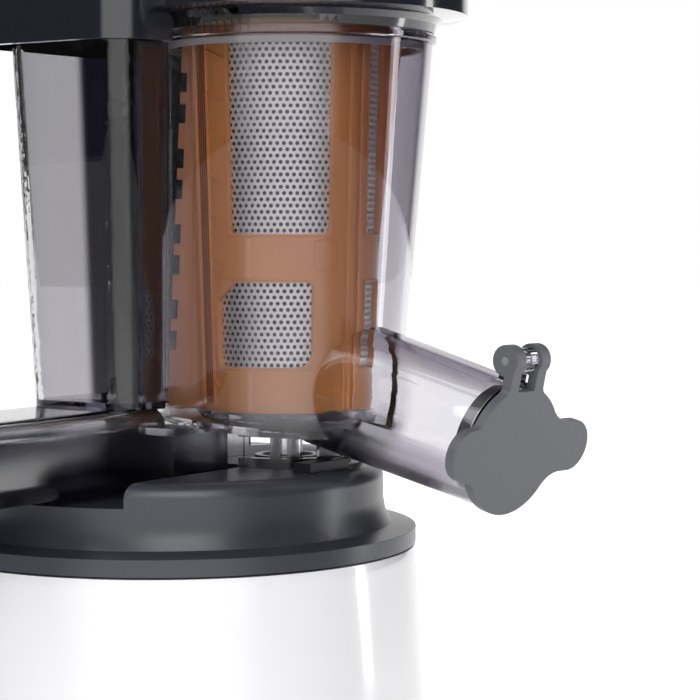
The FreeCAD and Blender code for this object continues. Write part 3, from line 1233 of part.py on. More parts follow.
def switch_frame():
    outer = box("switch_frame_box", (WALL_AT_SWITCH + " - switch_depth", "-switch_width / 2",
                                     "switch_z - switch_height / 2"),
                (WALL_AT_SWITCH, "switch_width / 2", "switch_z + switch_height / 2"))
    room = box("switch_room", (WALL_AT_SWITCH + " - switch_depth + shell_wall",
                               "-switch_width / 2 + shell_wall",
                               "switch_z - switch_height / 2 + shell_wall"),
               (WALL_AT_SWITCH + " + shell_wall", "switch_width / 2 - shell_wall",
                "switch_z + switch_height / 2 - shell_wall"))
    bearing = rocker_rod("rocker_bearing", "rocker_pin_radius + running_gap", PIN_LENGTH + " + 2 * seat_gap")
    return carve("switch_frame", outer, [room, bearing])


def switch_rocker():
    """Rocker that tips about a vertical pin through its middle."""
    half = "switch_width / 2 - shell_wall - rocker_gap"
    side = "switch_height / 2 - shell_wall - rocker_gap"
    face = WALL_AT_SWITCH
    outline = [(face + " - switch_depth / 3", "-(%s) * 3 / 4" % half),
               (face + " + rocker_proud / 3", "-(%s)" % half),
               (face, "0"), (face + " + rocker_proud", half),
               (face + " - switch_depth / 3", "(%s) * 3 / 4" % half)]
    paddle = place(slab("rocker_paddle", outline, "2 * (%s)" % side), "0", "0", "switch_z - (%s)" % side)
    return join("switch_rocker", [paddle, rocker_rod("rocker_pin", "rocker_pin_radius", PIN_LENGTH)])


def grommet():
    span = "3 * shell_wall"
    y = "housing_foot_radius - 2 * shell_wall"
    flange_y = housing_radius("(grommet_z - grommet_radius - shell_wall / 2)") + " + seat_gap / 3"
    barrel = cylinder("grommet_barrel", "grommet_radius - seat_gap / 3", span, "0", y, "grommet_z",
                      V(-1, 0, 0), "90")
    lip = cylinder("grommet_lip", "grommet_radius + shell_wall / 2", "shell_wall / 2", "0", flange_y,
                   "grommet_z", V(-1, 0, 0), "90")
    bore = cylinder("grommet_way", "grommet_bore", FAR, "0", "housing_foot_radius / 2", "grommet_z",
                    V(-1, 0, 0), "90")
    return carve("cord_grommet", join("grommet_body", [barrel, lip]), [bore])


def control_board():
    low_x, low_y = "axis_x - board_width / 2 + 4 * shell_wall", "axis_y - board_depth / 2"
    board = box("board_sheet", (low_x, low_y, PLATE_TOP + " + boss_radius"),
                (low_x + " + board_width", low_y + " + board_depth",
                 PLATE_TOP + " + boss_radius + board_thickness"))
    corners = [(x, y) for x in ("board_margin", "board_width - board_margin")
               for y in ("board_margin", "board_depth - board_margin")]
    legs = [cylinder("board_leg_%d" % number, "screw_head_radius", "boss_radius", low_x + " + " + x,
                     low_y + " + " + y, PLATE_TOP) for number, (x, y) in enumerate(corners)]
    top = PLATE_TOP + " + boss_radius + board_thickness"
    cans = [cylinder("board_can", "can_radius", "can_height", low_x + " + 2 * can_radius", "axis_y", top),
            cylinder("board_coil", "coil_radius", "coil_height", low_x + " + board_width - 2 * coil_radius",
                     "axis_y", top)]
    return join("control_board", [board] + legs + cans)


finish("rear_column", column())
finish("lid_button", lid_button())
finish("lock_block", lock_block())
finish("switch_frame", switch_frame())
finish("switch_rocker", switch_rocker())
finish("cord_grommet", grommet())
finish("control_board", control_board())


# ---------------------------------------------------------------------------------------------
# Check and write
# ---------------------------------------------------------------------------------------------
doc.recompute()
for item in doc.Objects:
    if "Invalid" in item.State or "Error" in item.State:
        raise RuntimeError("failed to build: " + item.Label)
for name, item in parts.items():
    if item.Shape.isNull() or not item.Shape.isValid() or not item.Shape.Solids:
        raise RuntimeError("bad shape: " + name)

os.makedirs("parts", exist_ok=True)
for name, item in parts.items():
    item.Shape.exportStep("parts/%s.step" % name)
    print("%-18s %2d solid(s) %9.0f mm3" % (name, len(item.Shape.Solids), item.Shape.Volume))
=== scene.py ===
"""Looks of an upright slow juicer, as an add-on with an operator for each group of pieces."""
import json
import math

import bpy
import bmesh
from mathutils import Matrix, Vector


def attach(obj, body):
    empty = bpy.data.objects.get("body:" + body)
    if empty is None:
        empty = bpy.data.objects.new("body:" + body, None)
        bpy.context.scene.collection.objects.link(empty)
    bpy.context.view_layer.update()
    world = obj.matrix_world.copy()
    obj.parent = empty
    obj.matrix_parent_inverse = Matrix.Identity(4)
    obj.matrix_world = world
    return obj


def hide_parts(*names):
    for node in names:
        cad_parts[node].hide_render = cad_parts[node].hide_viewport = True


bl_info = {
    "name": "Slow Juicer",
    "version": (1, 0, 0),
    "blender": (4, 5, 0),
    "location": "3D View > Sidebar > Juicer",
    "description": "Builds the visible pieces of an upright slow juicer round its packed model",
    "category": "Add Mesh",
}

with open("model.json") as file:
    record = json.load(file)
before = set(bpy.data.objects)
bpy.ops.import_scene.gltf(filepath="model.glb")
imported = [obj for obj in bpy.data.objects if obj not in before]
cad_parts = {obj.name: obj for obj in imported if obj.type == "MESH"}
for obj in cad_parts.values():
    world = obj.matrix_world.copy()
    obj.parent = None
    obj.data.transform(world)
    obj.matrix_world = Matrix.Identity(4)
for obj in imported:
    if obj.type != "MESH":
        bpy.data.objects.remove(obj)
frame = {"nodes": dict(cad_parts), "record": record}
NODES = frame["nodes"]


def centre(name):
    """Middle of a node's box."""
    corners = [NODES[name].matrix_world @ Vector(corner) for corner in NODES[name].bound_box]
    low = Vector([min(corner[side] for corner in corners) for side in range(3)])
    high = Vector([max(corner[side] for corner in corners) for side in range(3)])
    return (low + high) / 2


def middle(name):
    """Point on the table under the middle of a node's box."""
    spot = centre(name)
    return Vector((spot.x, spot.y, 0.0))


# Foot of the housing's axis, foot of the strainer's axis, and middle of the spout's mouth.
BASE = middle("motor_housing")
AXIS = middle("auger_insert")
MOUTH = centre("cap_seal_ring")
# Direction along the floor from the camera to the juicer, and the fall of the spout.
AHEAD = (0.8255, 0.5638, 0.0)
SPOUT_SLOPE = math.tan(math.radians(13.0))


# ---------------------------------------------------------------------------------------------
# Settings
# ---------------------------------------------------------------------------------------------
def colour(label, default, hint):
    """Colour setting, in linear light."""
    return bpy.props.FloatVectorProperty(name=label, description=hint, subtype="COLOR", size=3,
                                         min=0.0, max=1.0, default=default)


def length(label, default, hint):
    """Length setting, in metres."""
    return bpy.props.FloatProperty(name=label, description=hint, subtype="DISTANCE", unit="LENGTH",
                                   precision=4, default=default)


def amount(label, default, hint, high=1.0):
    """Plain number setting."""
    return bpy.props.FloatProperty(name=label, description=hint, min=0.0, max=high, default=default)


class JuicerColours(bpy.types.PropertyGroup):
    """Colours and finishes of the juicer's materials."""
    housing: colour("Housing", (0.72, 0.72, 0.735), "White gloss of the motor housing")
    collar: colour("Collar", (0.026, 0.028, 0.037), "Dark grey of the collar")
    bowl: colour("Bowl", (0.68, 0.665, 0.70), "Tint that one wall of the smoke-coloured bowl gives")
    chamber: colour("Side chamber", (0.60, 0.60, 0.615), "Tint of the side chamber's walls")
    # Painted shade: near-black tint on the bowl's rear wall before the column, standing in for the
    # dark seen through it.
    shade: colour("Rear wall", (0.008, 0.008, 0.018),
                  "Tint of the bowl's rear wall, before the column")
    chute: colour("Chute", (0.10, 0.10, 0.14), "Tint of the chute")
    skirt: colour("Skirt", (0.36, 0.36, 0.39), "Tint of the bowl's floor and of the skirt under it")
    spout: colour("Spout", (0.88, 0.87, 0.90), "Tint of the clearer spout")
    # Painted shade: darker tint in bands along the spout's top and bottom, standing in for the dark
    # edges its walls refract.
    band: colour("Spout band", (0.50, 0.47, 0.54), "Tint along the spout's top and bottom")
    filter: colour("Strainer", (0.98, 0.39, 0.12), "Copper orange of the strainer")
    # Painted shade: darker red-brown for the strips laid in the strainer's grooves.
    painted_recess_shade: colour("Strainer recess", (0.40, 0.11, 0.045),
                   "Deeper red-brown of the strainer's recesses")
    steel: colour("Steel", (0.80, 0.79, 0.80), "Bare steel of the screens, screws and shafts")
    cap: colour("Cap", (0.098, 0.102, 0.114), "Grey of the spout's cap")
    dark: colour("Dark parts", (0.010, 0.011, 0.016), "Near-black of the lid, rocker and auger")
    seal: colour("Seals", (0.60, 0.60, 0.58), "Pale silicone of the seals")
    backdrop: colour("Backdrop", (0.96, 0.96, 0.96), "Floor and backdrop")


class JuicerScreens(bpy.types.PropertyGroup):
    """Sizes of the perforated screens."""
    hole: length("Hole radius", 0.00082, "Radius of one hole")
    pitch: length("Pitch", 0.0025, "Distance between two holes of a row")
    row: length("Row step", 0.00236, "Distance between two rows")
    sheet: length("Sheet", 0.0005, "Thickness of the sheet")
    low_radius: length("Low radius", 0.034, "Outer radius of the strainer at its foot")
    low_height: length("Low height", 0.2036, "Height of the strainer's foot")
    slope: amount("Slope", 0.02972, "Growth of the strainer's radius with height")
    wall: length("Wall", 0.0022, "Thickness of the strainer's wall")


class JuicerStage(bpy.types.PropertyGroup):
    """Camera, lights and floor."""
    lens: bpy.props.FloatProperty(name="Lens", description="Focal length on a 36 mm sensor",
                                  subtype="DISTANCE_CAMERA", unit="CAMERA", default=113.7)
    back: amount("Back light", 1.0, "Strength of the white wall behind the juicer", 4.0)
    room: amount("Room light", 0.04, "Strength of the surroundings beside and before it", 4.0)
    front: amount("Front light", 1.5, "Strength of the wide card behind the camera", 4.0)
    sky: amount("Sky light", 0.30, "Strength of the surroundings overhead", 4.0)
    near: amount("Near floor", 0.04, "Light that the floor gives round the juicer", 4.0)
    apron: amount("Front floor", 0.9, "Light that the floor gives before the juicer", 4.0)
    glow: amount("Far floor", 0.90, "Light that the floor gives far behind the juicer", 4.0)
    seen: amount("Seen floor", 0.42, "Light that the camera sees from the near floor", 4.0)
    key: amount("Key light", 12.5, "Power of the soft box above the camera", 400.0)
    fill: amount("Fill light", 6.0, "Power of the soft box at the left", 400.0)
    strip: amount("Strip light", 2.0, "Power of the tall strip at the right", 200.0)


def colours():
    return bpy.context.scene.juicer_colours


def screens():
    return bpy.context.scene.juicer_screens


def stage_settings():
    return bpy.context.scene.juicer_stage


# ---------------------------------------------------------------------------------------------
# Shader helpers, groups and materials
# ---------------------------------------------------------------------------------------------
def feed(tree, socket, item):
    """Link an input to a socket, or set it to a plain value."""
    if isinstance(item, bpy.types.NodeSocket):
        tree.links.new(item, socket)
    else:
        socket.default_value = item


def fill(tree, made, values):
    """Feed a node's inputs by name."""
    for key, item in values.items():
        feed(tree, made.inputs[key.replace("_", " ")], item)


def node(tree, kind, place=(0, 0), feeds=(), **values):
    """New node: names with a capital and the feeds, in order, are inputs, others properties."""
    made = tree.nodes.new(kind)
    made.location = place
    for key, value in values.items():
        if key[0].islower():
            setattr(made, key, value)
    fill(tree, made, {key: value for key, value in values.items() if key[0].isupper()})
    for socket, item in zip(made.inputs, feeds):
        feed(tree, socket, item)
    return made


def worked(tree, operation, place, *feeds):
    """Result of a Math node."""
    return node(tree, "ShaderNodeMath", place, feeds, operation=operation).outputs[0]


def spanned(tree, source, ends, place):
    """Value that goes from the first end to the second while the source goes from 0 to 1."""
    made = node(tree, "ShaderNodeMapRange", place, Value=source, To_Min=ends[0], To_Max=ends[1])
    return made.outputs["Result"]


def ramp_between(tree, source, fade, place, origin=0.0):
    """Value that goes smoothly from 0 to 1 over a fade: its start and end, seen from an origin."""
    made = node(tree, "ShaderNodeMapRange", place, interpolation_type="SMOOTHSTEP", Value=source,
                From_Min=origin + fade[0], From_Max=origin + fade[1])
    return made.outputs["Result"]


def scaled(tree, shade, factor, place):
    """Colour times a factor."""
    made = node(tree, "ShaderNodeVectorMath", place, (shade,), operation="SCALE", Scale=factor)
    return made.outputs["Vector"]


def mixed(tree, factor, first, second, place):
    """Colour blend; each side is a socket or a plain colour."""
    made = node(tree, "ShaderNodeMix", place, data_type="RGBA", Factor=factor)
    for label, side in (("A", first), ("B", second)):
        socket = next(s for s in made.inputs if s.name == label and s.type == "RGBA")
        feed(tree, socket, side if isinstance(side, bpy.types.NodeSocket) else (*side, 1.0))
    return next(s for s in made.outputs if s.type == "RGBA")


def shader_group(name, defaults):
    """Empty shader group that will give a colour, a roughness and a normal; also its inputs."""
    tree = bpy.data.node_groups.new(name, "ShaderNodeTree")
    for label, default in defaults.items():
        kind = "NodeSocketColor" if label == "Color" else "NodeSocketFloat"
        socket = tree.interface.new_socket(name=label, in_out="INPUT", socket_type=kind)
        socket.default_value = default
    for label, kind in (("Color", "Color"), ("Roughness", "Float"), ("Normal", "Vector")):
        tree.interface.new_socket(name=label, in_out="OUTPUT", socket_type="NodeSocket" + kind)
    return tree, node(tree, "NodeGroupInput", (-1120, 0)).outputs


# Depth of the bumps in metres; change of a machined surface's roughness and tone in its streaks.
MOULDED_DEPTH = 0.0002
MACHINED_DEPTH = 0.0001
STREAK_ROUGHNESS = 0.12
STREAK_TONES = (0.88, 1.08)


def close_group(tree, shade, rough, depth, height, distance):
    """Give a shader group its outputs, with a normal bumped by a height."""
    bump = node(tree, "ShaderNodeBump", (-330, -250), Distance=distance, Strength=depth,
                Height=height)
    node(tree, "NodeGroupOutput", (50, 0), Color=shade, Roughness=rough,
         Normal=bump.outputs["Normal"])


def moulded_group():
    """Fine spark-eroded texture of moulded plastic, with faint changes of tone."""
    tree, given = shader_group(MOULDED, {
        "Color": (0.5, 0.5, 0.5, 1.0), "Tone Change": 0.04, "Roughness": 0.3,
        "Roughness Change": 0.05, "Grain Size": 2500.0, "Grain Height": 0.02})
    place = node(tree, "ShaderNodeTexCoord", (-900, 0)).outputs["Object"]
    cloud = node(tree, "ShaderNodeTexNoise", (-700, 200), Vector=place, Scale=22.0, Detail=4.0)
    grain = node(tree, "ShaderNodeTexNoise", (-700, -250), Vector=place, Scale=given["Grain Size"],
                 Detail=2.0)
    swing = worked(tree, "SUBTRACT", (-500, 200), cloud.outputs["Fac"], 0.5)
    tone = worked(tree, "MULTIPLY_ADD", (-330, 300), swing, given["Tone Change"], 1.0)
    rough = worked(tree, "MULTIPLY_ADD", (-330, 100), swing, given["Roughness Change"],
                   given["Roughness"])
    close_group(tree, scaled(tree, given["Color"], tone, (-150, 300)), rough,
                given["Grain Height"], grain.outputs["Fac"], MOULDED_DEPTH)


def machined_group():
    """Turned or brushed metal: fine streaks round the vertical, with a patchy roughness."""
    tree, given = shader_group(MACHINED, {
        "Color": (0.6, 0.6, 0.6, 1.0), "Roughness": 0.3, "Streak Size": 3000.0,
        "Streak Depth": 0.05})
    place = node(tree, "ShaderNodeTexCoord", (-900, 0)).outputs["Object"]
    squeeze = node(tree, "ShaderNodeMapping", (-720, 0), Vector=place, Scale=(0.03, 0.03, 1.0))
    streak = node(tree, "ShaderNodeTexNoise", (-540, 0), Vector=squeeze.outputs["Vector"],
                  Scale=given["Streak Size"], Detail=3.0).outputs["Fac"]
    rough = worked(tree, "MULTIPLY_ADD", (-330, 100), streak, STREAK_ROUGHNESS,
                   given["Roughness"])
    tone = spanned(tree, streak, STREAK_TONES, (-330, 300))
    close_group(tree, scaled(tree, given["Color"], tone, (-150, 300)), rough,
                given["Streak Depth"], streak, MACHINED_DEPTH)


def blank_material(name):
    """Material with an unlinked Principled BSDF, and its tree and shader."""
    made = bpy.data.materials.new(name)
    made.use_nodes = True
    tree = made.node_tree
    tree.nodes.clear()
    shader = node(tree, "ShaderNodeBsdfPrincipled")
    node(tree, "ShaderNodeOutputMaterial", (300, 0), Surface=shader.outputs["BSDF"])
    return made, tree, shader


def surface(name, group, base, shader_values=None, **group_values):
    """Material whose colour, roughness and normal come from a shared group."""
    made, tree, shader = blank_material(name)
    effect = node(tree, "ShaderNodeGroup", (-300, 0), node_tree=bpy.data.node_groups[group],
                  Color=(*base, 1.0), **group_values).outputs
    fill(tree, shader, {"Base Color": effect["Color"], "Roughness": effect["Roughness"],
                        "Normal": effect["Normal"], **(shader_values or {})})
    return made


# Fades of the bowl's tints and of its painted shade. Across and back: from the strainer's axis.
# Height: from the table.
CHAMBER_FADE = (-0.050, -0.066)
# The inward and rear fades bound the bowl's rear wall, where shade is painted.
INWARD_FADE = (-0.033, -0.027)
REAR_FADE = (0.044, 0.050)
FLOOR_FADE = (0.204, 0.196)
SPOUT_FADE = (-0.044, -0.052)
# Fades of the spout's bands of painted shade, over and under the line down the middle of the spout.
SPOUT_TOP_FADE = (0.0172, 0.0215)
SPOUT_FOOT_FADE = (-0.0150, -0.0190)
# The bowl's patchy tone and roughness, the frost that its floor adds, and its refraction.
HAZE = (0.95, 1.0)
SCUFF = (0.004, 0.02)
FLOOR_FROST = 0.16
BOWL_IOR = 1.49


def clear_plastic():
    """Smoke-tinted clear plastic, darker in the chamber, chute and floor, clearer in the spout."""
    made, tree, shader = blank_material("smoke_clear")
    tint = colours()
    place = node(tree, "ShaderNodeTexCoord", (-1500, 0)).outputs["Object"]
    across, back, height = node(tree, "ShaderNodeSeparateXYZ", (-1320, 0), (place,)).outputs
    chamber = ramp_between(tree, across, CHAMBER_FADE, (-1120, 500), AXIS.x)
    # Inward and rear bound the bowl's rear wall, where near-black shade is painted.
    inward = ramp_between(tree, across, INWARD_FADE, (-1120, -250), AXIS.x)
    rear = ramp_between(tree, back, REAR_FADE, (-1120, -500), AXIS.y)
    behind = worked(tree, "MULTIPLY", (-900, -400), inward, rear)
    floor = ramp_between(tree, height, FLOOR_FADE, (-1120, 250))
    spout = ramp_between(tree, back, SPOUT_FADE, (-1120, 0), AXIS.y)
    shade = mixed(tree, chamber, tint.bowl, tint.chamber, (-900, 400))
    shade = mixed(tree, behind, shade, tint.shade, (-810, 350))
    under = mixed(tree, chamber, tint.skirt, tint.chute, (-900, 150))
    shade = mixed(tree, floor, shade, under, (-720, 300))
    # Painted shade in bands along the spout's top and bottom.
    fall = worked(tree, "MULTIPLY_ADD", (-1320, -800), back, -SPOUT_SLOPE,
                  MOUTH.y * SPOUT_SLOPE - MOUTH.z)
    over = worked(tree, "ADD", (-1120, -800), height, fall)
    top = ramp_between(tree, over, SPOUT_TOP_FADE, (-900, -700))
    foot = ramp_between(tree, over, SPOUT_FOOT_FADE, (-900, -900))
    bands = worked(tree, "MAXIMUM", (-720, -800), top, foot)
    tube = mixed(tree, bands, tint.spout, tint.band, (-540, -700))
    shade = mixed(tree, spout, shade, tube, (-540, 200))
    cloud = node(tree, "ShaderNodeTexNoise", (-930, -200), Vector=place, Scale=14.0,
                 Detail=3.0).outputs["Fac"]
    haze = spanned(tree, cloud, HAZE, (-700, -200))
    scuff = spanned(tree, cloud, SCUFF, (-700, -450))
    frost = worked(tree, "MULTIPLY_ADD", (-500, -450), floor, FLOOR_FROST, scuff)
    fill(tree, shader, {"Base Color": scaled(tree, shade, haze, (-300, 0)), "Roughness": frost,
                        "Transmission Weight": 1.0, "IOR": BOWL_IOR})
    return made


MATERIALS = {}
MOULDED, MACHINED = "Moulded Surface", "Machined Surface"
# Colours, in linear light, of the finishes that have no setting.
SCREEN_STEEL = (0.95, 0.94, 0.94)
BRONZE = (0.50, 0.33, 0.15)
LAMINATE = (0.22, 0.22, 0.23)
LOCK_BLACK = (0.008, 0.0085, 0.011)
RUBBER_BLACK = (0.025, 0.025, 0.026)
NYLON_BLACK = (0.035, 0.036, 0.040)
ACETAL_CREAM = (0.72, 0.70, 0.62)
BOARD_GREEN = (0.02, 0.16, 0.06)


def build_materials():
    """All the juicer's materials, by the finish they give."""
    moulded_group()
    machined_group()
    tint = colours()
    metal = {"Metallic": 1.0}
    MATERIALS.update({
        "housing": surface("white_gloss", MOULDED, tint.housing,
                           {"Coat Weight": 0.6, "Coat Roughness": 0.03},
                           Roughness=0.16, Tone_Change=0.015, Grain_Size=900.0, Grain_Height=0.01),
        "collar": surface("collar_satin", MOULDED, tint.collar, {"Specular IOR Level": 0.55},
                          Roughness=0.30, Roughness_Change=0.06, Grain_Size=3500.0,
                          Grain_Height=0.05),
        "clear": clear_plastic(),
        "filter": surface("copper_plastic", MOULDED, tint.filter,
                          {"Subsurface Weight": 0.15,
                           "Subsurface Radius": (0.004, 0.0015, 0.0006),
                           "Subsurface Scale": 1.0, "Coat Weight": 0.35, "Coat Roughness": 0.12},
                          Roughness=0.33, Tone_Change=0.10, Grain_Size=1800.0, Grain_Height=0.03),
        # Painted shade: darker copper for the strips laid in the strainer's grooves.
        "painted_recess_shade": surface("copper_recess", MOULDED, tint.painted_recess_shade, Roughness=0.45, Tone_Change=0.12,
                          Grain_Size=1800.0, Grain_Height=0.03),
        "screen": surface("screen_steel", MACHINED, SCREEN_STEEL, metal, Roughness=0.42),
        "steel": surface("ground_steel", MACHINED, tint.steel, metal, Roughness=0.18),
        "bronze": surface("sintered_bronze", MACHINED, BRONZE, metal, Roughness=0.35),
        "laminate": surface("laminated_steel", MACHINED, LAMINATE, metal, Roughness=0.42,
                            Streak_Size=9000.0, Streak_Depth=0.3),
        "cap": surface("cap_grey", MOULDED, tint.cap, {"Specular IOR Level": 0.45},
                       Roughness=0.42, Tone_Change=0.03, Grain_Size=4000.0, Grain_Height=0.05),
        "dark": surface("dark_gloss", MOULDED, tint.dark,
                        {"Coat Weight": 0.8, "Coat Roughness": 0.04},
                        Roughness=0.14, Grain_Size=700.0, Grain_Height=0.01),
        "lock": surface("dark_satin", MOULDED, LOCK_BLACK, {"Specular IOR Level": 0.3},
                        Roughness=0.45, Grain_Height=0.05),
        "seal": surface("silicone", MOULDED, tint.seal,
                        {"Subsurface Weight": 0.2, "Subsurface Radius": (0.002, 0.002, 0.002)},
                        Roughness=0.45, Grain_Height=0.03),
        "rubber": surface("black_rubber", MOULDED, RUBBER_BLACK, Roughness=0.7,
                          Grain_Size=1500.0, Grain_Height=0.2),
        "nylon": surface("glass_filled_nylon", MOULDED, NYLON_BLACK, Roughness=0.5,
                         Tone_Change=0.2, Grain_Size=1200.0, Grain_Height=0.2),
        "acetal": surface("acetal", MOULDED, ACETAL_CREAM, Roughness=0.35, Grain_Height=0.02),
        "board": surface("circuit_board", MOULDED, BOARD_GREEN, {"Coat Weight": 0.5},
                         Roughness=0.35, Tone_Change=0.25, Grain_Size=500.0, Grain_Height=0.1),
    })


FINISHES = {
    "housing": ("motor_housing",),
    "collar": ("top_collar", "base_plate"),
    "clear": ("juicing_bowl",),
    "filter": ("filter_front", "filter_rear", "filter_base_ring"),
    "screen": ("filter_screens",),
    "steel": ("base_screws", "gearbox_screws", "idler_pinion", "motor_pinion", "drive_shaft",
              "idler_pin", "motor_shaft", "auger_insert", "cap_hinge_pin"),
    "bronze": ("shaft_bush_low", "shaft_bush_high", "motor_bush"),
    "laminate": ("motor_stator", "rotor_core"),
    "cap": ("spout_cap", "pusher", "pusher_cap", "lid_button"),
    "dark": ("auger", "lid", "switch_rocker"),
    "lock": ("lock_block", "switch_frame", "cooling_fan", "rear_column"),
    "seal": ("hub_gasket", "cap_seal_ring", "lid_seal"),
    "rubber": ("rubber_feet", "shaft_seal", "cord_grommet"),
    "nylon": ("gearbox_tray", "gearbox_cover"),
    "acetal": ("output_gear", "idler_wheel", "lid_bush"),
    "board": ("control_board",),
}


def finish_of(name):
    return next(finish for finish, names in FINISHES.items() if name in names)


# ---------------------------------------------------------------------------------------------
# Mesh helpers
# ---------------------------------------------------------------------------------------------
# Gap over which corners are joined, and the angles under which faces are joined, over which edges
# are softened, and over which edges stay sharp in the shading of shells and of details.
WELD = 2e-6
FLAT_ANGLE = math.radians(0.8)
SOFT_ANGLE = math.radians(35.0)
SHADING_ANGLE = math.radians(30.0)
DETAIL_SHADING_ANGLE = math.radians(40.0)


def added(name, data):
    """New object in the scene."""
    item = bpy.data.objects.new(name, data)
    bpy.context.scene.collection.objects.link(item)
    return item


def put(name, mesh, body, finish):
    """Object for a finished mesh, riding on a body."""
    item = added(name, mesh)
    mesh.materials.clear()
    mesh.materials.append(MATERIALS[finish])
    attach(item, body)
    return item


def mesh_of(form, name):
    """New mesh with a bmesh's shape; the bmesh is freed."""
    mesh = bpy.data.meshes.new(name)
    form.to_mesh(mesh)
    form.free()
    return mesh


def smooth(mesh, angle):
    """Smooth shading with sharp edges kept above an angle."""
    for face in mesh.polygons:
        face.use_smooth = True
    mesh.set_sharp_from_angle(angle=angle)


def evaluated(host):
    """Mesh that an object's modifier makes; the object is removed."""
    bpy.context.view_layer.update()
    seen = host.evaluated_get(bpy.context.evaluated_depsgraph_get())
    mesh = bpy.data.meshes.new_from_object(seen)
    bpy.data.objects.remove(host)
    return mesh


def welded(name, softness):
    """Copy of a CAD node's mesh with its corners joined, its edges softened and smooth shading."""
    mesh = NODES[name].data.copy()
    mesh.name = name + "_finished"
    form = bmesh.new()
    form.from_mesh(mesh)
    bmesh.ops.remove_doubles(form, verts=form.verts, dist=WELD)
    bmesh.ops.dissolve_limit(form, angle_limit=FLAT_ANGLE, verts=form.verts, edges=form.edges)
    sharp = [edge for edge in form.edges
             if len(edge.link_faces) == 2 and edge.calc_face_angle(0.0) > SOFT_ANGLE]
    bmesh.ops.bevel(form, geom=sharp, offset=softness, offset_type="OFFSET", segments=2,
                    profile=0.6, affect="EDGES", clamp_overlap=True)
    form.to_mesh(mesh)
    form.free()
    for old in [a.name for a in mesh.attributes if a.name == "custom_normal"]:
        mesh.attributes.remove(mesh.attributes[old])
    smooth(mesh, SHADING_ANGLE)
    host = added("host", mesh)
    host.modifiers.new("weighted", "WEIGHTED_NORMAL").keep_sharp = True
    return evaluated(host)


# ---------------------------------------------------------------------------------------------
# Operators: one for each piece or group of like pieces
# ---------------------------------------------------------------------------------------------
class Maker:
    """Shared settings of the operators."""
    bl_options = {"REGISTER", "UNDO"}


class JUICER_OT_finishes(Maker, bpy.types.Operator):
    """Make the materials and give every CAD piece its own"""
    bl_idname = "juicer.finishes"
    bl_label = "Materials"

    def execute(self, context):
        build_materials()
        for finish, names in FINISHES.items():
            for name in names:
                slots = NODES[name].data.materials
                slots.clear()
                slots.append(MATERIALS[finish])
        return {"FINISHED"}


BODY_OF = {name: body for body, names in frame["record"]["behaviour"]["bodies"].items()
           for name in names}
# Shells, and the radius that softens the edges of each.
SHELLS = {"motor_housing": 0.0006, "top_collar": 0.0005, "juicing_bowl": 0.0003,
          "filter_front": 0.0003, "filter_rear": 0.0003, "filter_base_ring": 0.0003,
          "auger": 0.0004, "lid": 0.0008, "rear_column": 0.0005, "spout_cap": 0.0007,
          "pusher": 0.0005, "pusher_cap": 0.001, "lock_block": 0.0004, "base_plate": 0.0003,
          "switch_frame": 0.0005, "switch_rocker": 0.0003}
# The lid's neck, which plugs the bowl: its top, and its reach from the axis.
NECK_TOP = 0.3565
NECK_REACH = 0.056


class JUICER_OT_shells(Maker, bpy.types.Operator):
    """Make the moulded shells with smooth curves"""
    bl_idname = "juicer.shells"
    bl_label = "Moulded shells"

    def execute(self, context):
        for name, softness in SHELLS.items():
            shell = put(name + "_shell", welded(name, softness), BODY_OF[name], finish_of(name))
            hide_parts(name)
            if name == "juicing_bowl":
                rounded_normals(shell.data)
            if name == "lid":
                self.clear_neck(shell.data)
        return {"FINISHED"}

    def clear_neck(self, mesh):
        """Give the part of the lid that plugs the bowl the bowl's clear plastic."""
        mesh.materials.append(MATERIALS["clear"])
        for face in mesh.polygons:
            away = face.center - AXIS
            if face.center.z < NECK_TOP and math.hypot(away.x, away.y) < NECK_REACH:
                face.material_index = 1


# What counts as the bowl's round wall: least reach from the axis, most lean of the face's normal,
# least height, and most turn away from the axis's direction.
WALL_REACH = 0.030
WALL_LEAN = 0.15
WALL_FOOT = 0.200
WALL_TURN = math.radians(7.0)


def rounded_normals(mesh):
    """Give the walls of a cone round the strainer's axis their true normals, and leave the rest."""
    normals = [corner.vector.copy() for corner in mesh.corner_normals]
    walls = {1: [], -1: []}
    for face in mesh.polygons:
        away = (face.center - AXIS).to_2d()
        if (away.length < WALL_REACH or abs(face.normal.z) > WALL_LEAN
                or face.center.z < WALL_FOOT):
            continue
        turn = away.normalized().dot(face.normal.to_2d().normalized())
        if abs(turn) > math.cos(WALL_TURN):
            walls[1 if turn > 0.0 else -1].append(face)
    for hand, faces in walls.items():
        total = sum(face.area for face in faces)
        lean = sum(face.normal.z * face.area for face in faces) / total
        for face in faces:
            for corner in face.loop_indices:
                spot = mesh.vertices[mesh.loops[corner].vertex_index].co
                away = (spot - AXIS).to_2d().normalized()
                flat = away * hand * math.sqrt(1.0 - lean * lean)
                normals[corner] = Vector((flat.x, flat.y, lean))
    mesh.normals_split_custom_set(normals)


# Half of the strainer: angles in degrees before the turn; heights and sizes in metres.
TURN = -51.0
# Windows: first angle, sweep, low edge and high edge.
WINDOWS = ((-130.0, 64.0, 0.272, 0.346), (-37.0, 26.0, 0.272, 0.346),
           (-141.0, 64.0, 0.221, 0.254), (-37.0, 26.0, 0.221, 0.254))
# Radii of each window's corners, and the numbers of the corners that are cut straight.
SMALL_CORNERS = ((0.001, 0.001, 0.001, 0.001), ())
WINDOW_CORNERS = (((0.003, 0.0015, 0.0015, 0.003), ()), SMALL_CORNERS,
                  ((0.006, 0.002, 0.0075, 0.0035), (2,)), SMALL_CORNERS)
# How far a frame's edges lie inside its window: degrees, metres; and its outer corners.
FRAME_INSIDE = (0.2, 0.0002)
FRAME_OUTSIDE = (-1.2, -0.0008)
FRAME_CORNERS = (0.0006, 0.0006, 0.0006, 0.0006)
# Lift over the wall of a frame's front and of a detail's hidden root, how far before the wall's
# inner side a frame's back ends, and the softness of its front edges.
FRAME_LIFT = 0.0006
ROOT_LIFT = -0.0004
FRAME_STOP = 0.0005
FRAME_SOFTNESS = 0.0003
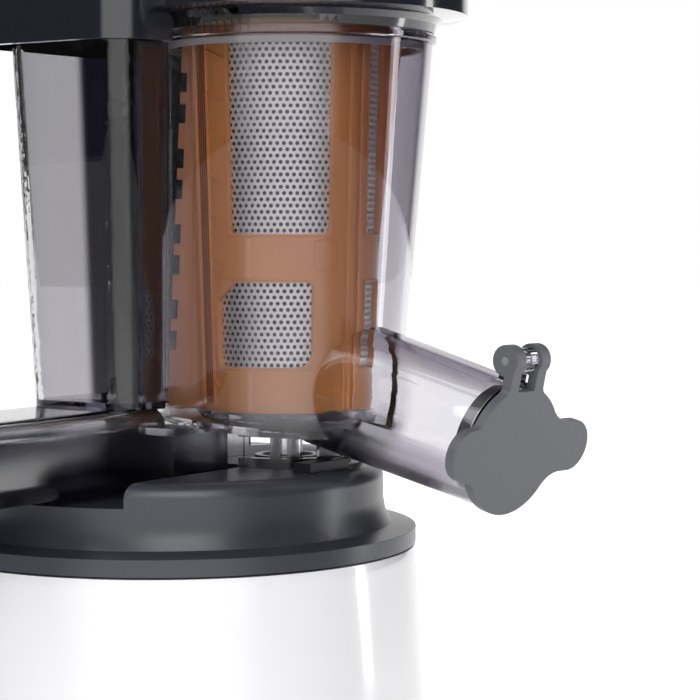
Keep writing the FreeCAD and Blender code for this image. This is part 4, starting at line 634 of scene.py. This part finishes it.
# Flat share of a rib's width. Ribs: first and last point (angle, height), width, lift.
RIB_TOP = 0.45
RIBS = (((-164.5, 0.2045), (-164.5, 0.3545), 0.0030, 0.0011),
        ((-146.5, 0.206), (-146.5, 0.3515), 0.0009, 0.0009),
        ((-160.0, 0.206), (-160.0, 0.3515), 0.0009, 0.0011),
        ((-118.5, 0.2555), (-118.5, 0.2705), 0.0034, 0.0006),
        ((-118.5, 0.2045), (-118.5, 0.2195), 0.0034, 0.0006),
        ((-51.0, 0.2045), (-51.0, 0.3500), 0.0042, 0.0012),
        ((-45.0, 0.2045), (-45.0, 0.3500), 0.0010, 0.0009))
# Ledges: heights; first point, then last point of a low and of a high one (angle, rise).
LEDGES = [0.214 + 0.0158 * step for step in range(9)]
LEDGE_START = (-145.8, 0.0022)
LOW_LEDGE_END = (-142.5, -0.0002)
HIGH_LEDGE_END = (-131.8, -0.0016)
HIGH_LEDGE = 0.256
LEDGE_WIDTH = 0.0010
LEDGE_LIFT = 0.0008
# Raised pad's edge, inner and outer: first and last angle, low and high edge, corner radius.
PAD = ((-76.0, -62.0, 0.2585, 0.2695, 0.002), (-77.0, -61.0, 0.2578, 0.2702, 0.0026))
PAD_SOFTNESS = 0.0002
# Strips of painted shade in the wall's grooves: first angle, step, number, width, lift, low and
# high end.
GROOVE_START, GROOVE_STEP, GROOVES = -157.5, 2.6, 4
GROOVE_WIDTH, GROOVE_LIFT = 0.0019, 0.00008
GROOVE_LOW, GROOVE_HIGH = 0.207, 0.350
# Thickness of the sheet in the CAD model, and how much wider and taller a screen is than its
# window: degrees, metres.
CAD_SHEET = 0.0006
SCREEN_SPARE = (5.0, 0.005)
# Gaps over which the corners of cells are joined, and then those of the two sides of a sheet.
CELL_WELD = 0.00002
SHEET_WELD = 0.00001
# Segments of a hole; steps of a rounded corner, of a window's side and of a rib.
HOLE_STEPS = 10
CORNER_STEPS = 6
SIDE_STEPS = 8
RIB_STEPS = 12


def strainer_radius(height):
    sizes = screens()
    return sizes.low_radius + sizes.slope * (height - sizes.low_height)


def on_cone(degrees, height, lift):
    """Point over the strainer's surface: its angle before the turn, its height, its lift."""
    turned = math.radians(degrees + TURN)
    reach = strainer_radius(height) + lift
    return AXIS + Vector((reach * math.cos(turned), reach * math.sin(turned), height))


def hole_cell():
    """Flat cell of the perforated sheet round one hole; its corners meet the staggered rows'."""
    sizes = screens()
    form = bmesh.new()
    wide, tall = sizes.pitch / 2, sizes.row / 2
    edge = [(-wide, -tall), (0.0, -tall), (wide, -tall), (wide, tall), (0.0, tall), (-wide, tall)]
    hole = [(sizes.hole * math.cos(turn), sizes.hole * math.sin(turn))
            for turn in (math.tau * step / HOLE_STEPS for step in range(HOLE_STEPS))]
    edges = []
    for loop in (edge, hole):
        spots = [form.verts.new((x, y, 0.0)) for x, y in loop]
        edges += [form.edges.new(pair) for pair in zip(spots, spots[1:] + spots[:1])]
    bmesh.ops.triangle_fill(form, edges=edges, use_beauty=True)
    for face in form.faces:
        if face.normal.z < 0.0:
            face.normal_flip()
    return bpy.data.objects.new("hole_cell", mesh_of(form, "hole_cell"))


def sheet_tree():
    """Geometry Nodes: a staggered sheet of cells, made solid and bent on to a cone."""
    tree = bpy.data.node_groups.new("Perforated Sheet", "GeometryNodeTree")
    kinds = (("Cell", "Object"), ("Columns", "Int"), ("Rows", "Int"), ("Pitch", "Float"),
             ("Row Step", "Float"), ("Sheet", "Float"), ("Angle", "Float"),
             ("Middle Height", "Float"), ("Middle Radius", "Float"), ("Slope", "Float"),
             ("Centre", "Vector"), ("Material", "Material"))
    for label, kind in kinds:
        tree.interface.new_socket(name=label, in_out="INPUT", socket_type="NodeSocket" + kind)
    tree.interface.new_socket(name="Geometry", in_out="OUTPUT", socket_type="NodeSocketGeometry")
    given = node(tree, "NodeGroupInput", (-1800, 0)).outputs

    def sums(operation, place, *feeds):
        return worked(tree, operation, place, *feeds)

    def form(kind, place, **values):
        """First output of a node that makes or changes geometry."""
        return node(tree, "GeometryNode" + kind, place, **values).outputs[0]

    def size(label, pitch, level):
        gaps = sums("SUBTRACT", (-1650, level), given[label], 1.0)
        return sums("MULTIPLY", (-1500, level), gaps, given[pitch])

    grid = form("MeshGrid", (-1300, 300), Vertices_X=given["Columns"], Vertices_Y=given["Rows"],
                Size_X=size("Columns", "Pitch", 500), Size_Y=size("Rows", "Row Step", 350))
    row = sums("MODULO", (-1500, 100), form("InputIndex", (-1650, 100)), given["Rows"])
    odd = sums("SUBTRACT", (-1200, 100), sums("MODULO", (-1350, 100), row, 2.0), 0.5)
    half = sums("MULTIPLY", (-1200, -60), given["Pitch"], 0.5)
    shift = node(tree, "ShaderNodeCombineXYZ", (-900, 100),
                 X=sums("MULTIPLY", (-1050, 100), odd, half)).outputs[0]
    stagger = form("SetPosition", (-900, 300), Geometry=grid, Offset=shift)
    cell = node(tree, "GeometryNodeObjectInfo", (-900, -60), Object=given["Cell"])
    spread = form("InstanceOnPoints", (-700, 300), Points=stagger,
                  Instance=cell.outputs["Geometry"])
    real = form("RealizeInstances", (-500, 300), Geometry=spread)
    joined = form("MergeByDistance", (-330, 300), Geometry=real, Distance=CELL_WELD)
    pull = node(tree, "ShaderNodeCombineXYZ", (-330, 60), Z=given["Sheet"]).outputs[0]
    thick = form("ExtrudeMesh", (-150, 300), mode="FACES", Mesh=joined, Offset=pull,
                 Individual=False)
    under = form("FlipFaces", (-150, 60), Mesh=joined)
    both = node(tree, "GeometryNodeJoinGeometry", (30, 300))
    for sheet in (thick, under):
        tree.links.new(sheet, both.inputs[0])
    closed = form("MergeByDistance", (200, 300), Geometry=both.outputs[0], Distance=SHEET_WELD)
    across, up, out = node(tree, "ShaderNodeSeparateXYZ", (-520, -300),
                           (form("InputPosition", (-700, -300)),)).outputs
    turn = sums("ADD", (-150, -200), sums("DIVIDE", (-330, -200), across, given["Middle Radius"]),
                given["Angle"])
    reach = sums("ADD", (-150, -380), sums("MULTIPLY", (-330, -380), up, given["Slope"]),
                 sums("ADD", (-330, -540), given["Middle Radius"], out))
    bent = node(tree, "ShaderNodeCombineXYZ", (300, -200),
                X=sums("MULTIPLY", (160, -160), reach, sums("COSINE", (30, -160), turn)),
                Y=sums("MULTIPLY", (160, -320), reach, sums("SINE", (30, -320), turn)),
                Z=sums("ADD", (30, -480), up, given["Middle Height"])).outputs[0]
    home = node(tree, "ShaderNodeVectorMath", (480, -200), (bent, given["Centre"]),
                operation="ADD").outputs[0]
    bend = form("SetPosition", (660, 300), Geometry=closed, Position=home)
    whole = form("RealizeInstances", (850, 300), Geometry=bend)
    coat = form("SetMaterial", (1050, 300), Geometry=whole, Material=given["Material"])
    node(tree, "NodeGroupOutput", (1500, 0), Geometry=coat)
    return tree


def generated(tree, values):
    """Plain mesh that a Geometry Nodes tree makes from its named inputs."""
    host = added("host", bpy.data.meshes.new("host"))
    modifier = host.modifiers.new("nodes", "NODES")
    modifier.node_group = tree
    for item in tree.interface.items_tree:
        if item.in_out == "INPUT" and item.name in values:
            modifier[item.identifier] = values[item.name]
    return evaluated(host)


def merged(name, meshes):
    """One mesh out of several."""
    form = bmesh.new()
    for mesh in meshes:
        form.from_mesh(mesh)
    return mesh_of(form, name)


class JUICER_OT_screens(Maker, bpy.types.Operator):
    """Make the perforated steel screens behind the strainer's windows"""
    bl_idname = "juicer.screens"
    bl_label = "Perforated screens"

    def execute(self, context):
        sizes = screens()
        tree = sheet_tree()
        cell = hole_cell()
        bpy.context.scene.collection.objects.link(cell)
        panels = []
        for side in (0.0, 180.0):
            for start, sweep, low, high in WINDOWS:
                height = (low + high) / 2
                radius = strainer_radius(height) - sizes.wall + (CAD_SHEET - sizes.sheet) / 2
                wide = radius * math.radians(sweep + SCREEN_SPARE[0])
                values = {
                    "Cell": cell, "Columns": int(wide / sizes.pitch),
                    "Rows": int((high - low + SCREEN_SPARE[1]) / sizes.row),
                    "Pitch": sizes.pitch, "Row Step": sizes.row, "Sheet": sizes.sheet,
                    "Angle": math.radians(start + sweep / 2 + side + TURN),
                    "Middle Height": height, "Middle Radius": radius, "Slope": sizes.slope,
                    "Centre": tuple(AXIS), "Material": MATERIALS["screen"]}
                panels.append(generated(tree, values))
        bpy.data.objects.remove(cell)
        whole = put("perforated_screens", merged("perforated_screens", panels), "bowl", "screen")
        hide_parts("filter_screens")
        return {"FINISHED"}


def along(first, last, step, steps):
    """Point some steps of the way from one point to another."""
    return tuple(here + (there - here) * step / steps for here, there in zip(first, last))


def degree_length(low, high):
    """Length of one degree round the strainer, halfway between two heights."""
    return strainer_radius((low + high) / 2) * math.pi / 180.0


def outline(start, end, low, high, radii, cut=()):
    """Loop of (angle, height) points round a window, with points along its sides as well.

    Its corners are rounded, or straight for the numbers in cut."""
    across = degree_length(low, high)
    corners = ((end, low, -1, 1, 270.0), (end, high, -1, -1, 0.0),
               (start, high, 1, -1, 90.0), (start, low, 1, 1, 180.0))
    arcs = []
    for number, (edge, level, sideways, upwards, turn) in enumerate(corners):
        radius = radii[number]
        pivot = (edge + sideways * radius / across, level + upwards * radius)
        arc = []
        for step in range(CORNER_STEPS + 1):
            angle = math.radians(turn + 90.0 * step / CORNER_STEPS)
            arc.append((pivot[0] + radius * math.cos(angle) / across,
                        pivot[1] + radius * math.sin(angle)))
        if number in cut:
            arc = [along(arc[0], arc[-1], step, CORNER_STEPS) for step in range(CORNER_STEPS + 1)]
        arcs.append(arc)
    loop = []
    for arc, following in zip(arcs, arcs[1:] + arcs[:1]):
        loop += arc
        loop += [along(arc[-1], following[0], step, SIDE_STEPS) for step in range(1, SIDE_STEPS)]
    return loop


def skin(form, rings, nexts):
    """Faces between rings of vertices, each ring to its next one."""
    for ring, following in zip(rings, nexts):
        for here in range(len(ring)):
            after = (here + 1) % len(ring)
            form.faces.new((ring[here], ring[after], following[after], following[here]))


def rim(form, inner, outer, back, soft):
    """Solid ring on the cone between two matched loops, with its front edges softened."""
    inside, outside = ([along(here, there, fifths, 5) for here, there in zip(inner, outer)]
                       for fifths in (1, 4))
    levels = ((inner, back), (inner, FRAME_LIFT - soft), (inside, FRAME_LIFT),
              (outside, FRAME_LIFT), (outer, FRAME_LIFT - soft), (outer, back))
    rings = [[form.verts.new(on_cone(*point, lift)) for point in loop] for loop, lift in levels]
    skin(form, rings, rings[1:] + rings[:1])


def bar(form, first, last, width, front):
    """Rounded rib along a straight line of the unrolled cone."""
    across = degree_length(first[1], last[1])
    run = Vector(((last[0] - first[0]) * across, last[1] - first[1]))
    side = Vector((-run.y, run.x)).normalized() * width / 2
    halfway = (ROOT_LIFT + front) / 2
    profile = ((-1.0, ROOT_LIFT), (-1.0, halfway), (-RIB_TOP, front), (RIB_TOP, front),
               (1.0, halfway), (1.0, ROOT_LIFT))
    rings = []
    for step in range(RIB_STEPS + 1):
        angle, height = along(first, last, step, RIB_STEPS)
        rings.append([form.verts.new(on_cone(angle + side.x * reach / across,
                                             height + side.y * reach, lift))
                      for reach, lift in profile])
    skin(form, rings, rings[1:])
    form.faces.new(rings[0])
    form.faces.new(list(reversed(rings[-1])))


class JUICER_OT_strainer(Maker, bpy.types.Operator):
    """Make the strainer's window frames, ribs and ledges, and strips of painted shade in its
    recesses
    """
    bl_idname = "juicer.strainer"
    bl_label = "Strainer details"

    def execute(self, context):
        for name, side in (("filter_front", 0.0), ("filter_rear", 180.0)):
            form = bmesh.new()
            self.frames(form, side)
            self.ribs(form, side)
            self.placed(form, name + "_frames", name, "filter")
            # Strips of painted shade in the strainer's grooves.
            painted_groove_shade = bmesh.new()
            for step in range(GROOVES):
                angle = GROOVE_START + GROOVE_STEP * step + side
                bar(painted_groove_shade, (angle, GROOVE_LOW), (angle, GROOVE_HIGH), GROOVE_WIDTH, GROOVE_LIFT)
            self.placed(painted_groove_shade, name + "_recess", name, "painted_recess_shade")
        return {"FINISHED"}

    def loop(self, side, *given):
        """Outline on one half of the strainer."""
        return [(angle + side, level) for angle, level in outline(*given)]

    def frames(self, form, side):
        for (start, sweep, low, high), corners in zip(WINDOWS, WINDOW_CORNERS):
            inner, outer = (
                self.loop(side, start + turn, start + sweep - turn, low + rise, high - rise, *how)
                for (turn, rise), how in ((FRAME_INSIDE, corners),
                                          (FRAME_OUTSIDE, (FRAME_CORNERS,))))
            rim(form, inner, outer, FRAME_STOP - screens().wall, FRAME_SOFTNESS)

    def ribs(self, form, side):
        lines = list(RIBS)
        for level in LEDGES:
            far, drop = LOW_LEDGE_END if level < HIGH_LEDGE else HIGH_LEDGE_END
            lines.append(((LEDGE_START[0], level + LEDGE_START[1]), (far, level + drop),
                          LEDGE_WIDTH, LEDGE_LIFT))
        for first, last, width, lift in lines:
            bar(form, (first[0] + side, first[1]), (last[0] + side, last[1]), width, lift)
        inner, outer = (self.loop(side, *edges, (radius,) * 4) for *edges, radius in PAD)
        rim(form, inner, outer, ROOT_LIFT, PAD_SOFTNESS)

    def placed(self, form, name, node_name, finish):
        bmesh.ops.recalc_face_normals(form, faces=form.faces)
        mesh = mesh_of(form, name)
        smooth(mesh, DETAIL_SHADING_ANGLE)
        return put(name, mesh, "bowl", finish)


# The camera's place from the foot of the housing's axis, and its dip under the level.
CAMERA_PLACE = (-0.6861, -0.5554, 0.275)
CAMERA_DIP = math.radians(3.19)
# What the soft boxes are turned to, from the same foot; their names, places, sizes and settings.
LIT_POINT = (0.0, -0.02, 0.22)
LIGHTS = (("key_box", (-0.95, -0.95, 1.35), (1.1, 1.1), "key"),
          ("left_box", (-1.0, 0.35, 1.35), (0.7, 0.9), "fill"),
          ("right_strip", (0.71, -0.815, 0.42), (0.12, 0.9), "strip"))
FLOOR_RADIUS = 9.0
# Fades of the floor's light: by distance behind the juicer, and by direction before it.
FAR_FLOOR_FADE = (-0.1, 0.35)
APRON_FADE = (-0.72, -0.88)
# Fades of the surroundings, by direction: behind, overhead, and behind the camera.
BACK_FADE = (0.80, 0.92)
SKY_FADE = (0.45, 0.8)
FRONT_FADE = (-0.66, -0.84)


def grey(value):
    return (value, value, value)


def ahead_part(tree, source, place):
    """How far a vector points the way the camera looks."""
    made = node(tree, "ShaderNodeVectorMath", place, (source, AHEAD), operation="DOT_PRODUCT")
    return made.outputs["Value"]


def camera_ray(tree, place):
    """1 for what the camera sees itself."""
    return node(tree, "ShaderNodeLightPath", place).outputs["Is Camera Ray"]


class JUICER_OT_stage(Maker, bpy.types.Operator):
    """Make the floor, the surroundings, the lights and the camera"""
    bl_idname = "juicer.stage"
    bl_label = "Stage"

    def execute(self, context):
        self.floor()
        self.world(context.scene)
        self.lights()
        self.camera(context.scene)
        context.scene.view_settings.view_transform = "Standard"
        return {"FINISHED"}

    def floor(self):
        """Pale floor that gives light behind and before the juicer, and little round it."""
        made, tree, shader = blank_material("floor_paper")
        light = stage_settings()
        place = node(tree, "ShaderNodeTexCoord", (-700, 0)).outputs["Object"]
        fibre = node(tree, "ShaderNodeTexNoise", (-500, 0), Vector=place, Scale=300.0, Detail=3.0)
        bump = node(tree, "ShaderNodeBump", (-250, -100), Strength=0.03, Distance=0.0005,
                    Height=fibre.outputs["Fac"])
        far = ramp_between(tree, ahead_part(tree, place, (-500, 300)), FAR_FLOOR_FADE, (-300, 300))
        unit = node(tree, "ShaderNodeVectorMath", (-500, 550), (place,), operation="NORMALIZE")
        before = ramp_between(tree, ahead_part(tree, unit.outputs["Vector"], (-300, 550)),
                              APRON_FADE, (-120, 700))
        glow = mixed(tree, before, grey(light.near), grey(light.apron), (-120, 850))
        glow = mixed(tree, far, glow, grey(light.glow), (-120, 300))
        pale = mixed(tree, far, grey(light.seen), grey(light.glow), (-120, 420))
        seen = mixed(tree, camera_ray(tree, (-120, 550)), glow, pale, (60, 300))
        fill(tree, shader, {"Base Color": (*colours().backdrop, 1.0), "Roughness": 0.6,
                            "Normal": bump.outputs["Normal"], "Emission Color": seen,
                            "Emission Strength": 1.0})
        form = bmesh.new()
        bmesh.ops.create_circle(form, cap_ends=True, segments=96, radius=FLOOR_RADIUS)
        mesh = mesh_of(form, "floor")
        mesh.materials.append(made)
        floor = added("floor", mesh)

    def world(self, scene):
        """White wall behind, dim sides, softly lit overhead; the camera sees plain white."""
        world = bpy.data.worlds.new("studio")
        scene.world = world
        world.use_nodes = True
        tree = world.node_tree
        tree.nodes.clear()
        light = stage_settings()
        place = node(tree, "ShaderNodeTexCoord", (-1300, 0)).outputs["Generated"]
        facing = ahead_part(tree, place, (-1100, 200))
        apart = node(tree, "ShaderNodeSeparateXYZ", (-1100, -200), (place,))
        behind = ramp_between(tree, facing, BACK_FADE, (-850, 200))
        above = ramp_between(tree, apart.outputs["Z"], SKY_FADE, (-850, -200))
        before = ramp_between(tree, facing, FRONT_FADE, (-850, 0))
        shade = mixed(tree, before, grey(light.room), grey(light.front), (-700, 100))
        shade = mixed(tree, behind, shade, grey(light.back), (-600, 200))
        shade = mixed(tree, above, shade, grey(light.sky), (-420, 100))
        seen = mixed(tree, camera_ray(tree, (-600, -300)), shade, grey(1.0), (-240, 0))
        glow = node(tree, "ShaderNodeBackground", (-60, 0), Color=seen)
        node(tree, "ShaderNodeOutputWorld", (140, 0), Surface=glow.outputs["Background"])

    def lights(self):
        """Soft boxes, turned to the juicer and hidden from the camera."""
        target = BASE + Vector(LIT_POINT)
        for name, spot, size, setting in LIGHTS:
            data = bpy.data.lights.new(name, "AREA")
            data.shape = "RECTANGLE"
            data.size, data.size_y = size
            data.energy = getattr(stage_settings(), setting)
            lamp = added(name, data)
            lamp.location = BASE + Vector(spot)
            lamp.rotation_euler = (target - lamp.location).to_track_quat("-Z", "Y").to_euler()
            lamp.visible_camera = False

    def camera(self, scene):
        """Camera that looks ahead and a little down."""
        data = bpy.data.cameras.new("camera")
        data.lens = stage_settings().lens
        data.sensor_width = 36.0
        data.clip_start = 0.01
        camera = added("camera", data)
        camera.location = BASE + Vector(CAMERA_PLACE)
        ahead = Vector(AHEAD) * math.cos(CAMERA_DIP) - Vector((0.0, 0.0, math.sin(CAMERA_DIP)))
        camera.rotation_euler = ahead.to_track_quat("-Z", "Y").to_euler()
        scene.camera = camera


class JUICER_PT_panel(bpy.types.Panel):
    """Sidebar panel with the juicer's settings and makers"""
    bl_label = "Slow Juicer"
    bl_idname = "JUICER_PT_panel"
    bl_space_type = "VIEW_3D"
    bl_region_type = "UI"
    bl_category = "Juicer"

    def draw(self, context):
        for group in (colours(), screens(), stage_settings()):
            box = self.layout.box()
            for key in group.__annotations__:
                box.prop(group, key)
        for maker in MAKERS:
            self.layout.operator(maker.bl_idname)


MAKERS = (JUICER_OT_finishes, JUICER_OT_shells, JUICER_OT_screens, JUICER_OT_strainer,
          JUICER_OT_stage)
GROUPS = (("juicer_colours", JuicerColours), ("juicer_screens", JuicerScreens),
          ("juicer_stage", JuicerStage))


def register():
    for name, group in GROUPS:
        bpy.utils.register_class(group)
        setattr(bpy.types.Scene, name, bpy.props.PointerProperty(type=group))
    for maker in MAKERS:
        bpy.utils.register_class(maker)
    bpy.utils.register_class(JUICER_PT_panel)


def unregister():
    bpy.utils.unregister_class(JUICER_PT_panel)
    for maker in reversed(MAKERS):
        bpy.utils.unregister_class(maker)
    for name, group in reversed(GROUPS):
        delattr(bpy.types.Scene, name)
        bpy.utils.unregister_class(group)


def main():
    """Register the add-on and make every piece."""
    register()
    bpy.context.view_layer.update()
    for maker in MAKERS:
        family, call = maker.bl_idname.split(".")
        getattr(getattr(bpy.ops, family), call)()


if __name__ == "__main__":
    main()
